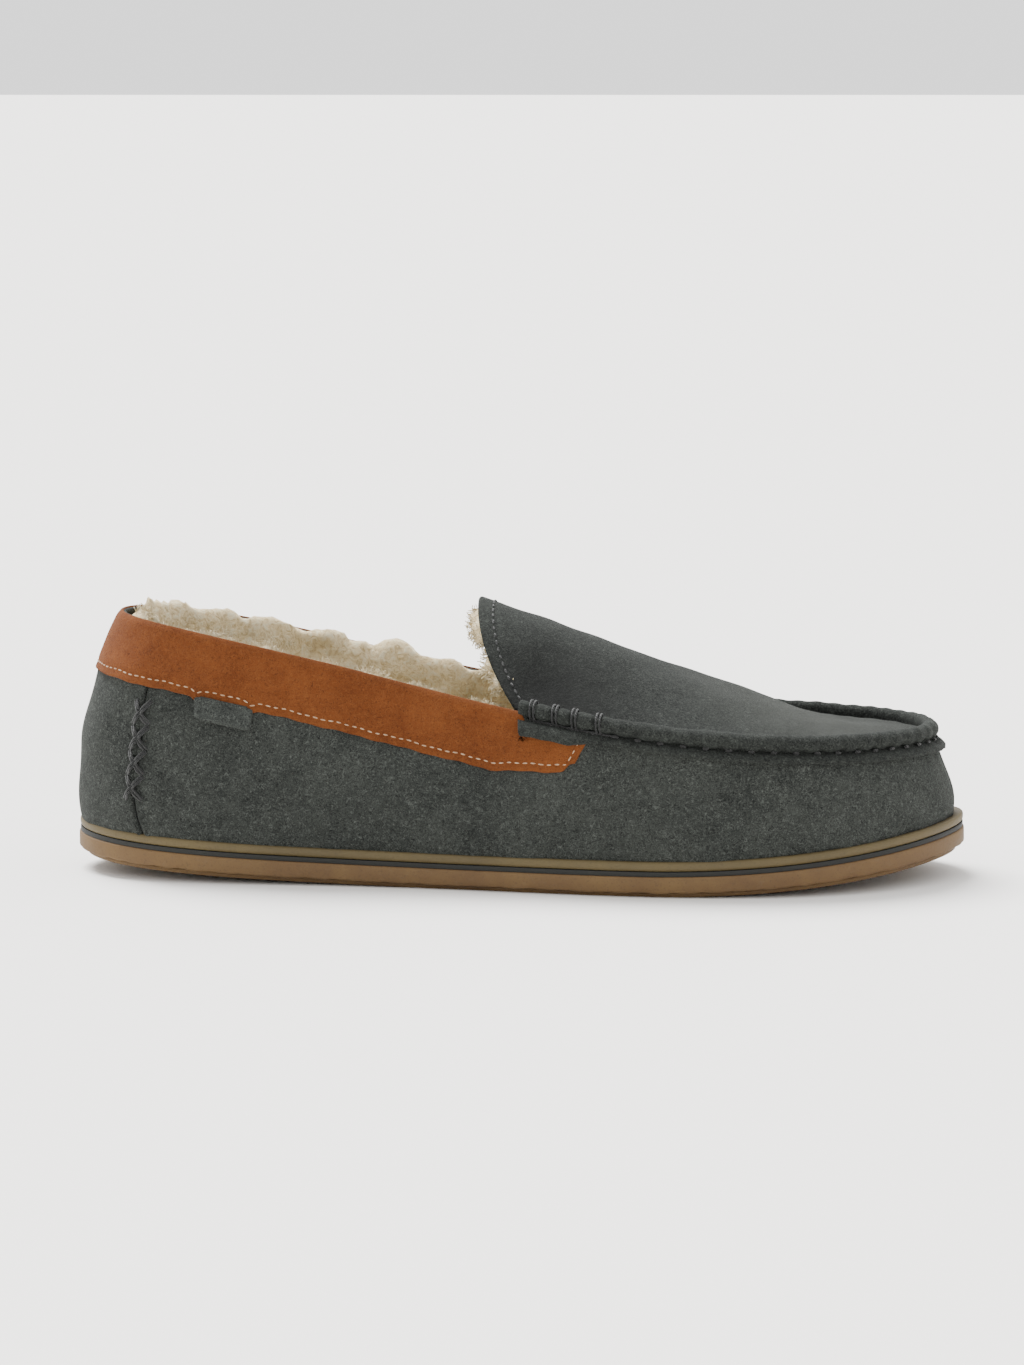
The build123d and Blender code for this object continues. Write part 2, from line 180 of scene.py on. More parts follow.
def yarn(name, look):
    material, net, place = newMaterial(name)
    twist = net.node("ShaderNodeTexWave", {"bands_direction": "DIAGONAL"},
                     {"Vector": place, "Scale": 420, "Distortion": 2.5, "Detail": 2.0})
    dust = net.spread(net.noise(place, 500, 3, 0.6), 0.3, 0.7)
    colour = net.mix(twist.at("Fac") * 0.6 + dust * 0.3, look["dark"], look["light"])
    finishMaterial(net, colour, 0.62 + dust * 0.15, twist.at("Fac"), (0.5, 0.0002),
                   {"Specular IOR Level": 0.35, "Sheen Weight": 0.2})
    return material


def board(name, look):
    material, net, place = newMaterial(name)
    pulp = net.noise(place, look["scale"], 5, 0.7, 0.8)
    grain = net.spread(pulp, 0.3, 0.7)
    colour = net.mix(grain, look["dark"], look["light"])
    finishMaterial(net, colour, 0.75 + grain * 0.15, pulp, (0.4, 0.0005), {"Specular IOR Level": 0.25})
    return material


def rgb(red, green, blue, share=1.0):  # display values, 0 to 255, as a linear colour, darkened by share
    return tuple(share * ((v / 255 + 0.055) / 1.055) ** 2.4 for v in (red, green, blue)) + (1.0,)


def deep(red, green, blue):  # leather, rubber and thread soak up much more light than wool and paper do
    return rgb(red, green, blue, 0.36)


suedeLook = {
    "dark": deep(45, 49, 46), "light": deep(73, 77, 72), "fibre": deep(150, 156, 149), "fleck": 0.72,
    "shade": deep(18, 20, 19), "pit": 0.9, "sheen": 0.05, "sheenTint": rgb(150, 155, 148), "bump": 0.9,
}
# painted shade: a darker copy of the grey suede for the welt and the apron, which face up
shadedWeltLook = dict(suedeLook, dark=deep(38, 41, 39), light=deep(58, 62, 58), fibre=deep(122, 128, 121))
# painted shade beside the foot of the tongue, one spot on each side, and a painted highlight on the top of
# the toe
apronLook = dict(shadedWeltLook, paintedShadeAndHighlight=[
    ((0.012, -0.040, 0.068), 0.040, deep(10, 11, 10), 0.9),
    ((0.012, 0.040, 0.068), 0.040, deep(10, 11, 10), 0.9),
    ((0.098, -0.004, 0.062), 0.055, deep(96, 99, 93), 0.6)])
tabLook = dict(suedeLook, dark=deep(60, 64, 61), light=deep(90, 95, 90))
tanLook = {
    "dark": deep(132, 68, 28), "light": deep(158, 88, 38), "fibre": deep(205, 130, 72), "fleck": 0.42,
    "shade": deep(82, 38, 14), "pit": 0.65, "sheen": 0.05, "sheenTint": rgb(200, 140, 90), "bump": 0.55,
}
outsoleLook = {
    "dark": deep(140, 106, 66), "light": deep(160, 126, 80), "grain": deep(108, 84, 58), "speck": 0.5,
    "wear": deep(168, 144, 112), "rough": 0.62, "gloss": 0.3, "bump": 0.35,
}
khakiLook = {
    "dark": deep(120, 103, 62), "light": deep(136, 118, 74), "grain": deep(88, 74, 44), "speck": 0.35,
    "wear": deep(140, 124, 88), "rough": 0.55, "gloss": 0.35, "bump": 0.25,
}
stripeLook = {
    "dark": deep(44, 45, 42), "light": deep(54, 55, 51), "grain": deep(34, 34, 32), "speck": 0.4,
    "wear": deep(80, 80, 75), "rough": 0.6, "gloss": 0.3, "bump": 0.25,
}
woolLook = {
    "root": rgb(222, 192, 134), "tip": rgb(252, 238, 200), "warm": rgb(244, 216, 160),
    "bright": rgb(255, 250, 226),
    "deep": rgb(188, 156, 100), "curlSize": 420,
}
paleLook = {"dark": rgb(190, 146, 108, 0.5), "light": rgb(228, 196, 160, 0.55)}
greyLook = {"dark": deep(16, 17, 16), "light": deep(44, 47, 45)}
blackLook = {"dark": deep(5, 5, 5), "light": deep(15, 16, 15)}
boardLook = {"dark": rgb(150, 128, 98), "light": rgb(182, 160, 126), "scale": 260}
foamLook = {"dark": rgb(205, 198, 180), "light": rgb(228, 222, 206), "scale": 700}
feltLook = {"dark": rgb(118, 110, 96), "light": rgb(150, 140, 124), "scale": 500}
sheetLook = {"dark": rgb(196, 190, 176), "light": rgb(214, 209, 196), "scale": 90}

greySuede = suede("greySuede", suedeLook)
weltSuede = suede("weltSuede", shadedWeltLook)
apronSuede = suede("apronSuede", apronLook)
tabSuede = suede("tabSuede", tabLook)
tanSuede = suede("tanSuede", tanLook)
outsoleRubber = rubber("outsoleRubber", outsoleLook)
khakiRubber = rubber("khakiRubber", khakiLook)
stripeRubber = rubber("stripeRubber", stripeLook)
sheepWool = wool("sheepWool", woolLook)
paleYarn = yarn("paleYarn", paleLook)
greyYarn = yarn("greyYarn", greyLook)
blackYarn = yarn("blackYarn", blackLook)
fibreBoard = board("fibreBoard", boardLook)
softFoam = board("softFoam", foamLook)
stiffSheet = board("stiffSheet", sheetLook)
greyFelt = board("greyFelt", feltLook)
print("materials made")


# the last that the upper is pulled over, in millimetres; +x to the toe, -y to the outer side

last = {
    "heelX": -147.75, "toeX": 147.75,
    "outline": [
        (-147.75, 1), (-137, -24), (-112, -36), (-68, -39), (-20, -43), (28, -51), (66, -53),
        (102, -46), (130, -28), (147.75, 8), (136, 35), (110, 49), (74, 53), (36, 49),
        (-10, 41.5), (-62, 38.5), (-112, 36), (-138, 24),
    ],
    "flatFrom": -8.0, "flatTo": 42.0, "heelRocker": 1650.0, "toeRocker": 600.0,
}


def closedCurve(points, count):  # a smooth loop through the points, as evenly spaced samples
    points = np.array(points, float)
    total = len(points)
    chord = np.linalg.norm(np.roll(points, -1, 0) - points, axis=1)
    left, right = np.zeros((total, total)), np.zeros((total, 2))
    for i in range(total):
        before, after, onward = chord[i - 1], chord[i], (i + 1) % total
        left[i, i - 1] += before
        left[i, i] += 2 * (before + after)
        left[i, onward] += after
        right[i] = 6 * ((points[onward] - points[i]) / after - (points[i] - points[i - 1]) / before)
    bend = np.linalg.solve(left, right)
    dense = []
    for i in range(total):
        onward, length = (i + 1) % total, chord[i]
        for share in np.arange(0, 1, 1 / 200):
            a, b = 1 - share, share
            dense.append(a * points[i] + b * points[onward]
                         + ((a**3 - a) * bend[i] + (b**3 - b) * bend[onward]) * length**2 / 6)
    dense = np.array(dense + dense[:1])
    run = np.concatenate([[0], np.cumsum(np.linalg.norm(np.diff(dense, axis=0), axis=1))])
    even = np.linspace(0, run[-1], count, endpoint=False)
    return np.stack([np.interp(even, run, dense[:, k]) for k in (0, 1)], 1), run[-1]


soleRing, ringLength = closedCurve(last["outline"], 2880)


def topLine(x):  # height of the side's top edge
    turn = np.pi * (np.minimum(x, 145) + 185) / 330
    return 47.0 + 43.0 * ((1 + np.cos(turn)) / 2) ** 1.4


def crownRise(x):  # height of the apron's ridge above its edge
    turn = np.pi * (np.minimum(x, 155) + 40) / 195
    return 32.6 * ((1 + np.cos(turn)) / 2) ** 0.95


def tongueEdge(z):  # where the apron ends at the back, at a height
    rise = (z - float(topLine(4.5))) / 30.0
    return 4.5 - 21.5 * rise + 5.5 * np.maximum(rise, 0) ** 3


def floorLine(x, lift):  # height of the sole's running curve, raised by lift
    ahead = np.maximum(x - last["flatTo"], 0)
    behind = np.maximum(last["flatFrom"] - x, 0)
    toe = last["toeRocker"] - np.sqrt((last["toeRocker"] - lift) ** 2 - ahead**2)
    heel = last["heelRocker"] - np.sqrt((last["heelRocker"] - lift) ** 2 - behind**2)
    return np.where(ahead > 0, toe, np.where(behind > 0, heel, lift))


def soleEdge(turn):  # u runs once round, from the heel along the outer side and back on the inner
    at = (turn % 1.0) * len(soleRing)
    low = np.floor(at).astype(int)
    share = (at - low)[..., None]
    return soleRing[low % len(soleRing)] * (1 - share) + soleRing[(low + 1) % len(soleRing)] * share


def lastPoint(turn, z):
    base = soleEdge(turn)
    t = (base[..., 0] - last["heelX"]) / (last["toeX"] - last["heelX"])
    back = 0.004 * (z - 24) ** 2
    front = -3.0 - 0.0105 * (z - 20) ** 2
    width = 0.80 + 0.0925 * (1 + np.cos(np.pi * (z - 20) / 80))
    return np.stack([base[..., 0] + back * (1 - t) ** 3 + front * t**3, base[..., 1] * width], -1)


def wallPoint(turn, z, out=0.0):
    turn, z, out = np.broadcast_arrays(np.asarray(turn, float), np.asarray(z, float), np.asarray(out, float))
    here = lastPoint(turn, z)
    along = lastPoint(turn + 0.002, z) - lastPoint(turn - 0.002, z)
    along /= np.linalg.norm(along, axis=-1, keepdims=True)
    away = np.stack([along[..., 1], -along[..., 0]], -1)
    return np.concatenate([here + away * out[..., None], z[..., None]], -1)


def turnAt(x, z, side):  # where a station is on the loop; side is -1 outer, +1 inner
    turns = np.linspace(0, 0.5, 900) if side < 0 else np.linspace(1, 0.5, 900)
    return float(np.interp(x, lastPoint(turns, np.full(900, float(z)))[:, 0], turns))


def settle(turn, rule):  # the height on the wall at which a rule of x is met
    z = np.full(np.shape(turn), 55.0)
    for _ in range(8):
        z = rule(lastPoint(turn, z)[..., 0])
    return z


def ripple(points, size, seed, waves=9):  # smooth random swells, about -1 to 1
    rng = np.random.default_rng(seed)
    total = np.zeros(points.shape[:-1])
    for _ in range(waves):
        way = rng.normal(size=3)
        way *= 2 * np.pi / size / np.linalg.norm(way) * rng.uniform(0.6, 1.5)
        total += np.sin(points @ way + rng.uniform(0, 6.28))
    return total / math.sqrt(waves) / 1.2


# meshes from grids of points


def makePiece(name, points, faces, material):
    mesh = bpy.data.meshes.new(name)
    mesh.from_pydata((np.asarray(points) * mm).tolist(), [], faces)
    work = bmesh.new()
    work.from_mesh(mesh)
    bmesh.ops.remove_doubles(work, verts=work.verts, dist=0.02 * mm)
    bmesh.ops.recalc_face_normals(work, faces=work.faces)
    work.to_mesh(mesh)
    work.free()
    for face in mesh.polygons:
        face.use_smooth = True
    mesh.materials.append(material)
    piece = bpy.data.objects.new(name, mesh)
    bpy.context.collection.objects.link(piece)
    return piece


def gridNormals(grid, centre):
    down, across = np.gradient(grid, axis=0), np.gradient(grid, axis=1)
    normal = np.cross(across, down)
    size = np.linalg.norm(normal, axis=-1, keepdims=True)
    normal = normal / np.maximum(size, 1e-9)
    facing = ((grid - np.array(centre)) * normal).sum(-1)
    return normal if np.median(facing) > 0 else -normal


def shellMesh(grid, thick, centre=(0, 0, 10), rim=3):
    # the grid is the outer face; the inner face lies thick below it, and the rim is rounded
    rows, cols = grid.shape[:2]
    normal = gridNormals(grid, centre)
    thick = np.broadcast_to(thick, (rows, cols))[..., None]
    points = [grid.reshape(-1, 3), (grid - normal * thick).reshape(-1, 3)]
    faces = []
    for i in range(rows - 1):
        for j in range(cols - 1):
            a = i * cols + j
            quad = (a, a + 1, a + cols + 1, a + cols)
            faces.append(quad)
            faces.append(tuple(v + rows * cols for v in reversed(quad)))
    loop = ([(0, j) for j in range(cols)] + [(i, cols - 1) for i in range(1, rows)]
            + [(rows - 1, j) for j in range(cols - 2, -1, -1)] + [(i, 0) for i in range(rows - 2, 0, -1)])
    edge = np.array([grid[i, j] for i, j in loop])
    inside = np.array([grid[min(max(i, 1), rows - 2), min(max(j, 1), cols - 2)] for i, j in loop])
    facing = np.array([normal[i, j] for i, j in loop])
    thick = np.array([thick[i, j] for i, j in loop])
    away = edge - inside
    away -= facing * (away * facing).sum(-1, keepdims=True)
    away /= np.maximum(np.linalg.norm(away, axis=-1, keepdims=True), 1e-9)
    rings = [[i * cols + j for i, j in loop]]
    start = 2 * rows * cols
    for k in range(1, rim + 1):
        angle = math.pi * k / (rim + 1)
        turnedOver = (facing * math.cos(angle) + away * math.sin(angle)) * thick / 2
        points.append(edge - facing * thick / 2 + turnedOver)
        rings.append(list(range(start, start + len(loop))))
        start += len(loop)
    rings.append([v + rows * cols for v in rings[0]])
    for upper, lower in zip(rings, rings[1:]):
        for k in range(len(loop)):
            n = (k + 1) % len(loop)
            faces.append((upper[k], lower[k], lower[n], upper[n]))
    return np.concatenate(points), faces


def sweepMesh(grid, nose):
    # each row is a closed section; the nose is how far the two rounded ends stand out
    sections = list(grid)
    for end, ahead in ((0, 1), (-1, -2)):
        tip = sections[end]
        middle = tip.mean(0)
        push = tip.mean(0) - sections[ahead].mean(0)
        push /= np.linalg.norm(push)
        extra = [middle + (tip - middle) * (1 - 0.24 * (1 - math.cos(a))) + push * nose * math.sin(a)
                 for a in (0.5, 1.0, 1.5)]
        sections = extra[::-1] + sections if end == 0 else sections + extra
    count, size = len(sections), len(sections[0])
    faces = []
    for i in range(count - 1):
        for j in range(size):
            a, b = i * size + j, i * size + (j + 1) % size
            c, d = (i + 1) * size + (j + 1) % size, (i + 1) * size + j
            faces.append((a, b, c, d))
    faces.append(tuple(range(size)))
    faces.append(tuple(reversed(range((count - 1) * size, count * size))))
    return np.concatenate(sections), faces


def wallGrid(rows, cols, fromTurn, toTurn, low, high):
    # turns and heights over a stretch of wall; the four rules give its ends and its edges
    share, across = np.linspace(0, 1, rows)[:, None], np.linspace(0, 1, cols)[None, :]
    z = np.full((rows, cols), 50.0)
    for _ in range(10):
        turn = fromTurn(z) * (1 - across) + toTurn(z) * across
        x = lastPoint(turn, z)[..., 0]
        z = low(x) * (1 - share) + high(x) * share
    return turn, z


def heightTable(rule):  # a rule of height that is slow to work out, looked up from a table
    heights = np.linspace(5, 100, 60)
    values = np.array([rule(z) for z in heights])
    return lambda z: np.interp(z, heights, values)


def curveThrough(points, count):
    # a smooth open path through a few points
    points = np.array(points, float)
    at = np.concatenate([[0], np.cumsum(np.linalg.norm(np.diff(points, axis=0), axis=1))])
    padded = np.concatenate([[2 * points[0] - points[1]], points, [2 * points[-1] - points[-2]]])
    out = []
    for s in np.linspace(0, at[-1], count):
        i = min(int(np.searchsorted(at, s, "right")) - 1, len(points) - 2)
        t = (s - at[i]) / (at[i + 1] - at[i])
        p0, p1, p2, p3 = padded[i:i + 4]
        out.append(0.5 * (2 * p1 + (p2 - p0) * t + (2 * p0 - 5 * p1 + 4 * p2 - p3) * t * t
                          + (3 * p1 - p0 - 3 * p2 + p3) * t**3))
    return np.array(out)


# geometry node trees for what repeats


def newTree(name, sockets):
    tree = bpy.data.node_groups.new(name, "GeometryNodeTree")
    tree.interface.new_socket("Geometry", in_out="INPUT", socket_type="NodeSocketGeometry")
    for label, kind, value in sockets:
        made = tree.interface.new_socket(label, in_out="INPUT", socket_type=kind)
        if value is not None:
            made.default_value = value
    tree.interface.new_socket("Geometry", in_out="OUTPUT", socket_type="NodeSocketGeometry")
    net = Net(tree)
    return tree, net, net.node("NodeGroupInput")


def endTree(net, geometry, entry):
    real = net.node("GeometryNodeRealizeInstances", None, {"Geometry": geometry})
    done = net.node("GeometryNodeSetMaterial", None, {"Geometry": real, "Material": entry.at("Material")})
    net.node("NodeGroupOutput", None, {"Geometry": done})


def grow(name, base, tree, values):
    modifier = base.modifiers.new("grow", "NODES")
    modifier.node_group = tree
    for item in tree.interface.items_tree:
        if item.in_out == "INPUT" and item.name in values:
            modifier[item.identifier] = values[item.name]
    bpy.context.view_layer.update()
    evaluated = base.evaluated_get(bpy.context.evaluated_depsgraph_get())
    mesh = bpy.data.meshes.new_from_object(evaluated)
    base.modifiers.remove(modifier)
    piece = bpy.data.objects.new(name, mesh)
    bpy.context.collection.objects.link(piece)
    return piece


def pathObject(paths):  # a throwaway object of plain edges, for the trees to follow
    points, edges = [], []
    for path in paths:
        edges += [(len(points) + k, len(points) + k + 1) for k in range(len(path) - 1)]
        points += [tuple(p) for p in np.asarray(path) * mm]
    mesh = bpy.data.meshes.new("path")
    mesh.from_pydata(points, edges, [])
    made = bpy.data.objects.new("path", mesh)
    bpy.context.collection.objects.link(made)
    return made


def growOnPaths(name, paths, tree, values):
    base = pathObject(paths)
    piece = grow(name, base, tree, values)
    bpy.data.objects.remove(base)
    return piece


def makeStitchTree():  # short stitches spaced along a path
    tree, net, entry = newTree("stitchRow", [
        ("Pitch", "NodeSocketFloat", 0.0027), ("Length", "NodeSocketFloat", 0.0016),
        ("Radius", "NodeSocketFloat", 0.0003), ("Seed", "NodeSocketInt", 1),
        ("Material", "NodeSocketMaterial", None)])
    curve = net.node("GeometryNodeMeshToCurve", None, {"Mesh": entry.at("Geometry")})
    spots = net.node("GeometryNodeCurveToPoints", {"mode": "LENGTH"},
                     {"Curve": curve, "Length": entry.at("Pitch")})
    bead = net.node("GeometryNodeMeshUVSphere", None, {"Segments": 6, "Rings": 5, "Radius": 1.0})
    turned = net.node("FunctionNodeAlignRotationToVector", {"axis": "Z"}, {"Vector": spots.at("Tangent")})
    vary = net.node("FunctionNodeRandomValue", {"data_type": "FLOAT"},
                    {"Min": 0.88, "Max": 1.1, "Seed": entry.at("Seed")}, out="Value")
    size = net.node("ShaderNodeCombineXYZ", None, {
        "X": entry.at("Radius"), "Y": entry.at("Radius"), "Z": entry.at("Length") * 0.5 * vary})
    laid = net.node("GeometryNodeInstanceOnPoints", None, {
        "Points": spots.at("Points"), "Instance": bead, "Rotation": turned, "Scale": size})
    endTree(net, laid, entry)
    return tree


def makeThreadTree():  # a round thread along each path, thinner at its two ends
    tree, net, entry = newTree("threadRun", [
        ("Radius", "NodeSocketFloat", 0.0004), ("Sides", "NodeSocketInt", 6),
        ("Material", "NodeSocketMaterial", None)])
    curve = net.node("GeometryNodeMeshToCurve", None, {"Mesh": entry.at("Geometry")})
    along = net.node("GeometryNodeSplineParameter").at("Factor")
    ends = net.spread(net.maths("ABSOLUTE", along - 0.5), 0.36, 0.5, 1.0, 0.45)
    sized = net.node("GeometryNodeSetCurveRadius", None, {"Curve": curve, "Radius": ends})
    ring = net.node("GeometryNodeCurvePrimitiveCircle", {"mode": "RADIUS"},
                    {"Resolution": entry.at("Sides"), "Radius": entry.at("Radius")})
    tube = net.node("GeometryNodeCurveToMesh", None,
                    {"Curve": sized, "Profile Curve": ring, "Fill Caps": True})
    endTree(net, tube, entry)
    return tree


def makePileTree():  # curled locks of wool that stand on a surface and lean together in clumps
    tree, net, entry = newTree("woolPile", [
        ("Density", "NodeSocketFloat", 600000.0), ("Length", "NodeSocketFloat", 0.005),
        ("Radius", "NodeSocketFloat", 0.00025), ("Lean", "NodeSocketFloat", 1.0),
        ("Clump", "NodeSocketFloat", 160.0), ("Seed", "NodeSocketInt", 1),
        ("Material", "NodeSocketMaterial", None)])
    cast = net.node("GeometryNodeDistributePointsOnFaces", {"distribute_method": "RANDOM"}, {
        "Mesh": entry.at("Geometry"), "Selection": net.node("GeometryNodeInputNamedAttribute",
        {"data_type": "FLOAT"}, {"Name": "shown"}), "Density": entry.at("Density"), "Seed": entry.at("Seed")})
    spot = net.node("GeometryNodeInputPosition")
    drift = net.node("ShaderNodeTexNoise", None,
                     {"Vector": spot, "Scale": entry.at("Clump"), "Detail": 1.5}).at("Color")
    swirl = net.node("ShaderNodeVectorMath", {"operation": "SUBTRACT"}, {0: drift, 1: (0.5, 0.5, 0.5)})
    swirl = net.node("ShaderNodeVectorMath", {"operation": "SCALE"},
                     {0: swirl, "Scale": entry.at("Lean") * 6.0})
    jitter = net.node("FunctionNodeRandomValue", {"data_type": "FLOAT_VECTOR"},
                      {0: (-0.45, -0.45, -0.45), 1: (0.45, 0.45, 0.45), "Seed": entry.at("Seed")},
                      out="Value")
    way = net.node("ShaderNodeVectorMath", {"operation": "ADD"}, {0: cast.at("Normal"), 1: swirl})
    way = net.node("ShaderNodeVectorMath", {"operation": "ADD"}, {0: way, 1: jitter})
    turned = net.node("FunctionNodeAlignRotationToVector", {"axis": "Z"}, {"Vector": way})
    spin = net.node("FunctionNodeRandomValue", {"data_type": "FLOAT_VECTOR"},
                    {0: (0, 0, 0), 1: (0, 0, 6.28), "Seed": entry.at("Seed") + 7}, out="Value")
    turned = net.node("FunctionNodeRotateRotation", {"rotation_space": "LOCAL"}, {0: turned, 1: spin})
    tall = net.node("FunctionNodeRandomValue", {"data_type": "FLOAT"},
                    {2: 0.65, 3: 1.15, "Seed": entry.at("Seed") + 3}, out="Value")
    bend = net.node("GeometryNodeCurveQuadraticBezier", None, {
        "Resolution": 4, "Start": (0, 0, -0.1), "Middle": (0.42, 0, 0.55), "End": (-0.12, 0.2, 0.95)})
    along = net.node("GeometryNodeSplineParameter").at("Factor")
    sized = net.node("GeometryNodeSetCurveRadius", None,
                     {"Curve": bend, "Radius": net.spread(along, 0, 1, 1.0, 0.3)})
    marked = net.node("GeometryNodeStoreNamedAttribute", {"data_type": "FLOAT", "domain": "POINT"},
                      {"Geometry": sized, "Name": "tip", "Value": along})
    thin = entry.at("Radius") * net.maths("DIVIDE", 1.0, entry.at("Length"))
    ring = net.node("GeometryNodeCurvePrimitiveCircle", {"mode": "RADIUS"}, {"Resolution": 3, "Radius": thin})
    lock = net.node("GeometryNodeCurveToMesh", None,
                    {"Curve": marked, "Profile Curve": ring, "Fill Caps": True})
    laid = net.node("GeometryNodeInstanceOnPoints", None, {
        "Points": cast.at("Points"), "Instance": lock, "Rotation": turned,
        "Scale": tall * entry.at("Length")})
    endTree(net, laid, entry)
    return tree


stitchTree, threadTree, pileTree = makeStitchTree(), makeThreadTree(), makePileTree()
print("node trees made")


# sole: three rubber layers and a tread

sole = {
    "outsole": 6.8, "stripe": 1.6, "topBand": 3.2, "treadDepth": 1.5, "treadInset": 3.2,
    "barWidth": 6.0, "barPitch": 9.0, "columns": 560,
}
soleTop = sole["outsole"] + sole["stripe"] + sole["topBand"]


def soleLayer(name, node, low, high, inset, ease, material, flash=0.0):
    # a section that is round at its two outer corners, swept round the outline and closed by flat faces
    cols = sole["columns"]
    turns = np.arange(cols) / cols
    edge = soleEdge(turns)
    along = soleEdge(turns + 0.002) - soleEdge(turns - 0.002)
    along /= np.linalg.norm(along, axis=1, keepdims=True)
    away = np.stack([along[:, 1], -along[:, 0]], 1)
    arc = np.linspace(0, np.pi / 2, 4)
    section = [(-7.0, low)]
    section += [(-ease + ease * math.sin(a), low + ease - ease * math.cos(a)) for a in arc]
    section += [(0.0, (low + high) / 2)]
    section += [(-ease + ease * math.cos(a), high - ease + ease * math.sin(a)) for a in arc]
    section += [(-7.0, high)]
    rows = []
    for out, lift in section:
        out = out - inset
        wobble = ripple(np.stack([edge[:, 0], edge[:, 1], np.full(cols, lift * 6.0)], 1), 60, 5) * 0.12
        ragged = 0
        if lift < low + ease:  # the moulding's ragged lower edge
            ragged = flash * ripple(np.stack([edge[:, 0], edge[:, 1], np.zeros(cols)], 1), 5, 9)
        flat = edge + away * (out + wobble)[:, None] if out > -4 else edge + away * out
        rows.append(np.concatenate([flat, (floorLine(flat[:, 0], lift) - ragged)[:, None]], 1))
    points = np.concatenate(rows)
    faces = []
    for i in range(len(rows) - 1):
        for j in range(cols):
            n = (j + 1) % cols
            faces.append((i * cols + j, i * cols + n, (i + 1) * cols + n, (i + 1) * cols + j))
    half = cols // 2
    for base, order in ((0, 1), ((len(rows) - 1) * cols, -1)):
        for j in range(half):
            ends = (base + j, base + j + 1, base + (cols - j - 1) % cols, base + (cols - j) % cols)
            faces.append(tuple(dict.fromkeys(ends[::order])))
    piece = makePiece(name, points, faces, material)
    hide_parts(node)
    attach(piece, "slipper")
    return piece


lowLayer, midLayer = sole["outsole"], sole["outsole"] + sole["stripe"]
soleLayer("outsoleSlab", "outsole", sole["treadDepth"], lowLayer, 0.0, 0.7,
          outsoleRubber, 0.18)
soleLayer("stripeLayer", "sole_stripe", lowLayer + 0.02, midLayer, 0.4, 0.2,
          stripeRubber)
soleLayer("topBandLayer", "sole_top_band", midLayer + 0.02, soleTop, 0.35, 1.1,
          khakiRubber)


def makeBarTree():  # a bar with round corners along each path
    tree, net, entry = newTree("treadBar", [
        ("Width", "NodeSocketFloat", 0.006), ("Height", "NodeSocketFloat", 0.0016),
        ("Corner", "NodeSocketFloat", 0.0005), ("Material", "NodeSocketMaterial", None)])
    curve = net.node("GeometryNodeMeshToCurve", None, {"Mesh": entry.at("Geometry")})
    slab = net.node("GeometryNodeCurvePrimitiveQuadrilateral", {"mode": "RECTANGLE"},
                    {"Width": entry.at("Width"), "Height": entry.at("Height")})
    eased = net.node("GeometryNodeFilletCurve", {"mode": "POLY"},
                     {"Curve": slab, "Count": 2, "Radius": entry.at("Corner"), "Limit Radius": True})
    bar = net.node("GeometryNodeCurveToMesh", None,
                   {"Curve": curve, "Profile Curve": eased, "Fill Caps": True})
    endTree(net, bar, entry)
    return tree


barTree = makeBarTree()
turns = np.linspace(0, 1, 241)
rimEdge = soleEdge(turns)
rimAlong = soleEdge(turns + 0.002) - soleEdge(turns - 0.002)
rimAlong /= np.linalg.norm(rimAlong, axis=1, keepdims=True)
rimPath = rimEdge + np.stack([-rimAlong[:, 1], rimAlong[:, 0]], 1) * (sole["treadInset"] + 2.5)
barPaths = [np.concatenate([rimPath, floorLine(rimPath[:, 0], 0.8)[:, None]], 1)]
for n in range(-14, 15):
    x = n * sole["barPitch"] + 6.5
    if -125 < x < 130:
        outer = float(np.interp(x, rimPath[:121, 0], rimPath[:121, 1]))
        inner = float(np.interp(x, rimPath[:119:-1, 0], rimPath[:119:-1, 1]))
        ys = np.linspace(outer, inner, 9)
        sway = 1.6 * np.sin((ys - outer) / (inner - outer) * 3 * np.pi)
        barPaths.append(np.stack([x + sway, ys, floorLine(x + sway, 0.8)], 1))
treadBars = growOnPaths("treadBars", barPaths, barTree, {
    "Width": sole["barWidth"] * mm, "Height": 0.0016, "Corner": 0.0004,
    "Material": outsoleRubber})
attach(treadBars, "slipper")
print("sole made")


# side and heel leather, joined by two raised seams

side = {
    "leather": 1.5, "rows": 40, "columns": 440,
    "seamLip": 0.85, "seamGroove": 1.0, "seamKnot": 0.9, "gather": 0.28,
    "gatherPitch": 7.3, "swell": 0.55,
}
seamHeights = [5, 13, 21, 28, 57, 67, 100]
seamStations = [-119.6, -120.6, -123.2, -124.6, -121.4, -119.5, -116.0]
seamOuter = heightTable(lambda z: turnAt(np.interp(z, seamHeights, seamStations), z, -1))
seamInner = heightTable(lambda z: turnAt(np.interp(z, seamHeights, seamStations), z, 1))


def seamDistance(turn, z):  # millimetres along the wall to the nearer heel seam
    turn = turn % 1.0
    return np.minimum(np.abs(turn - seamOuter(z)), np.abs(turn - seamInner(z))) * ringLength


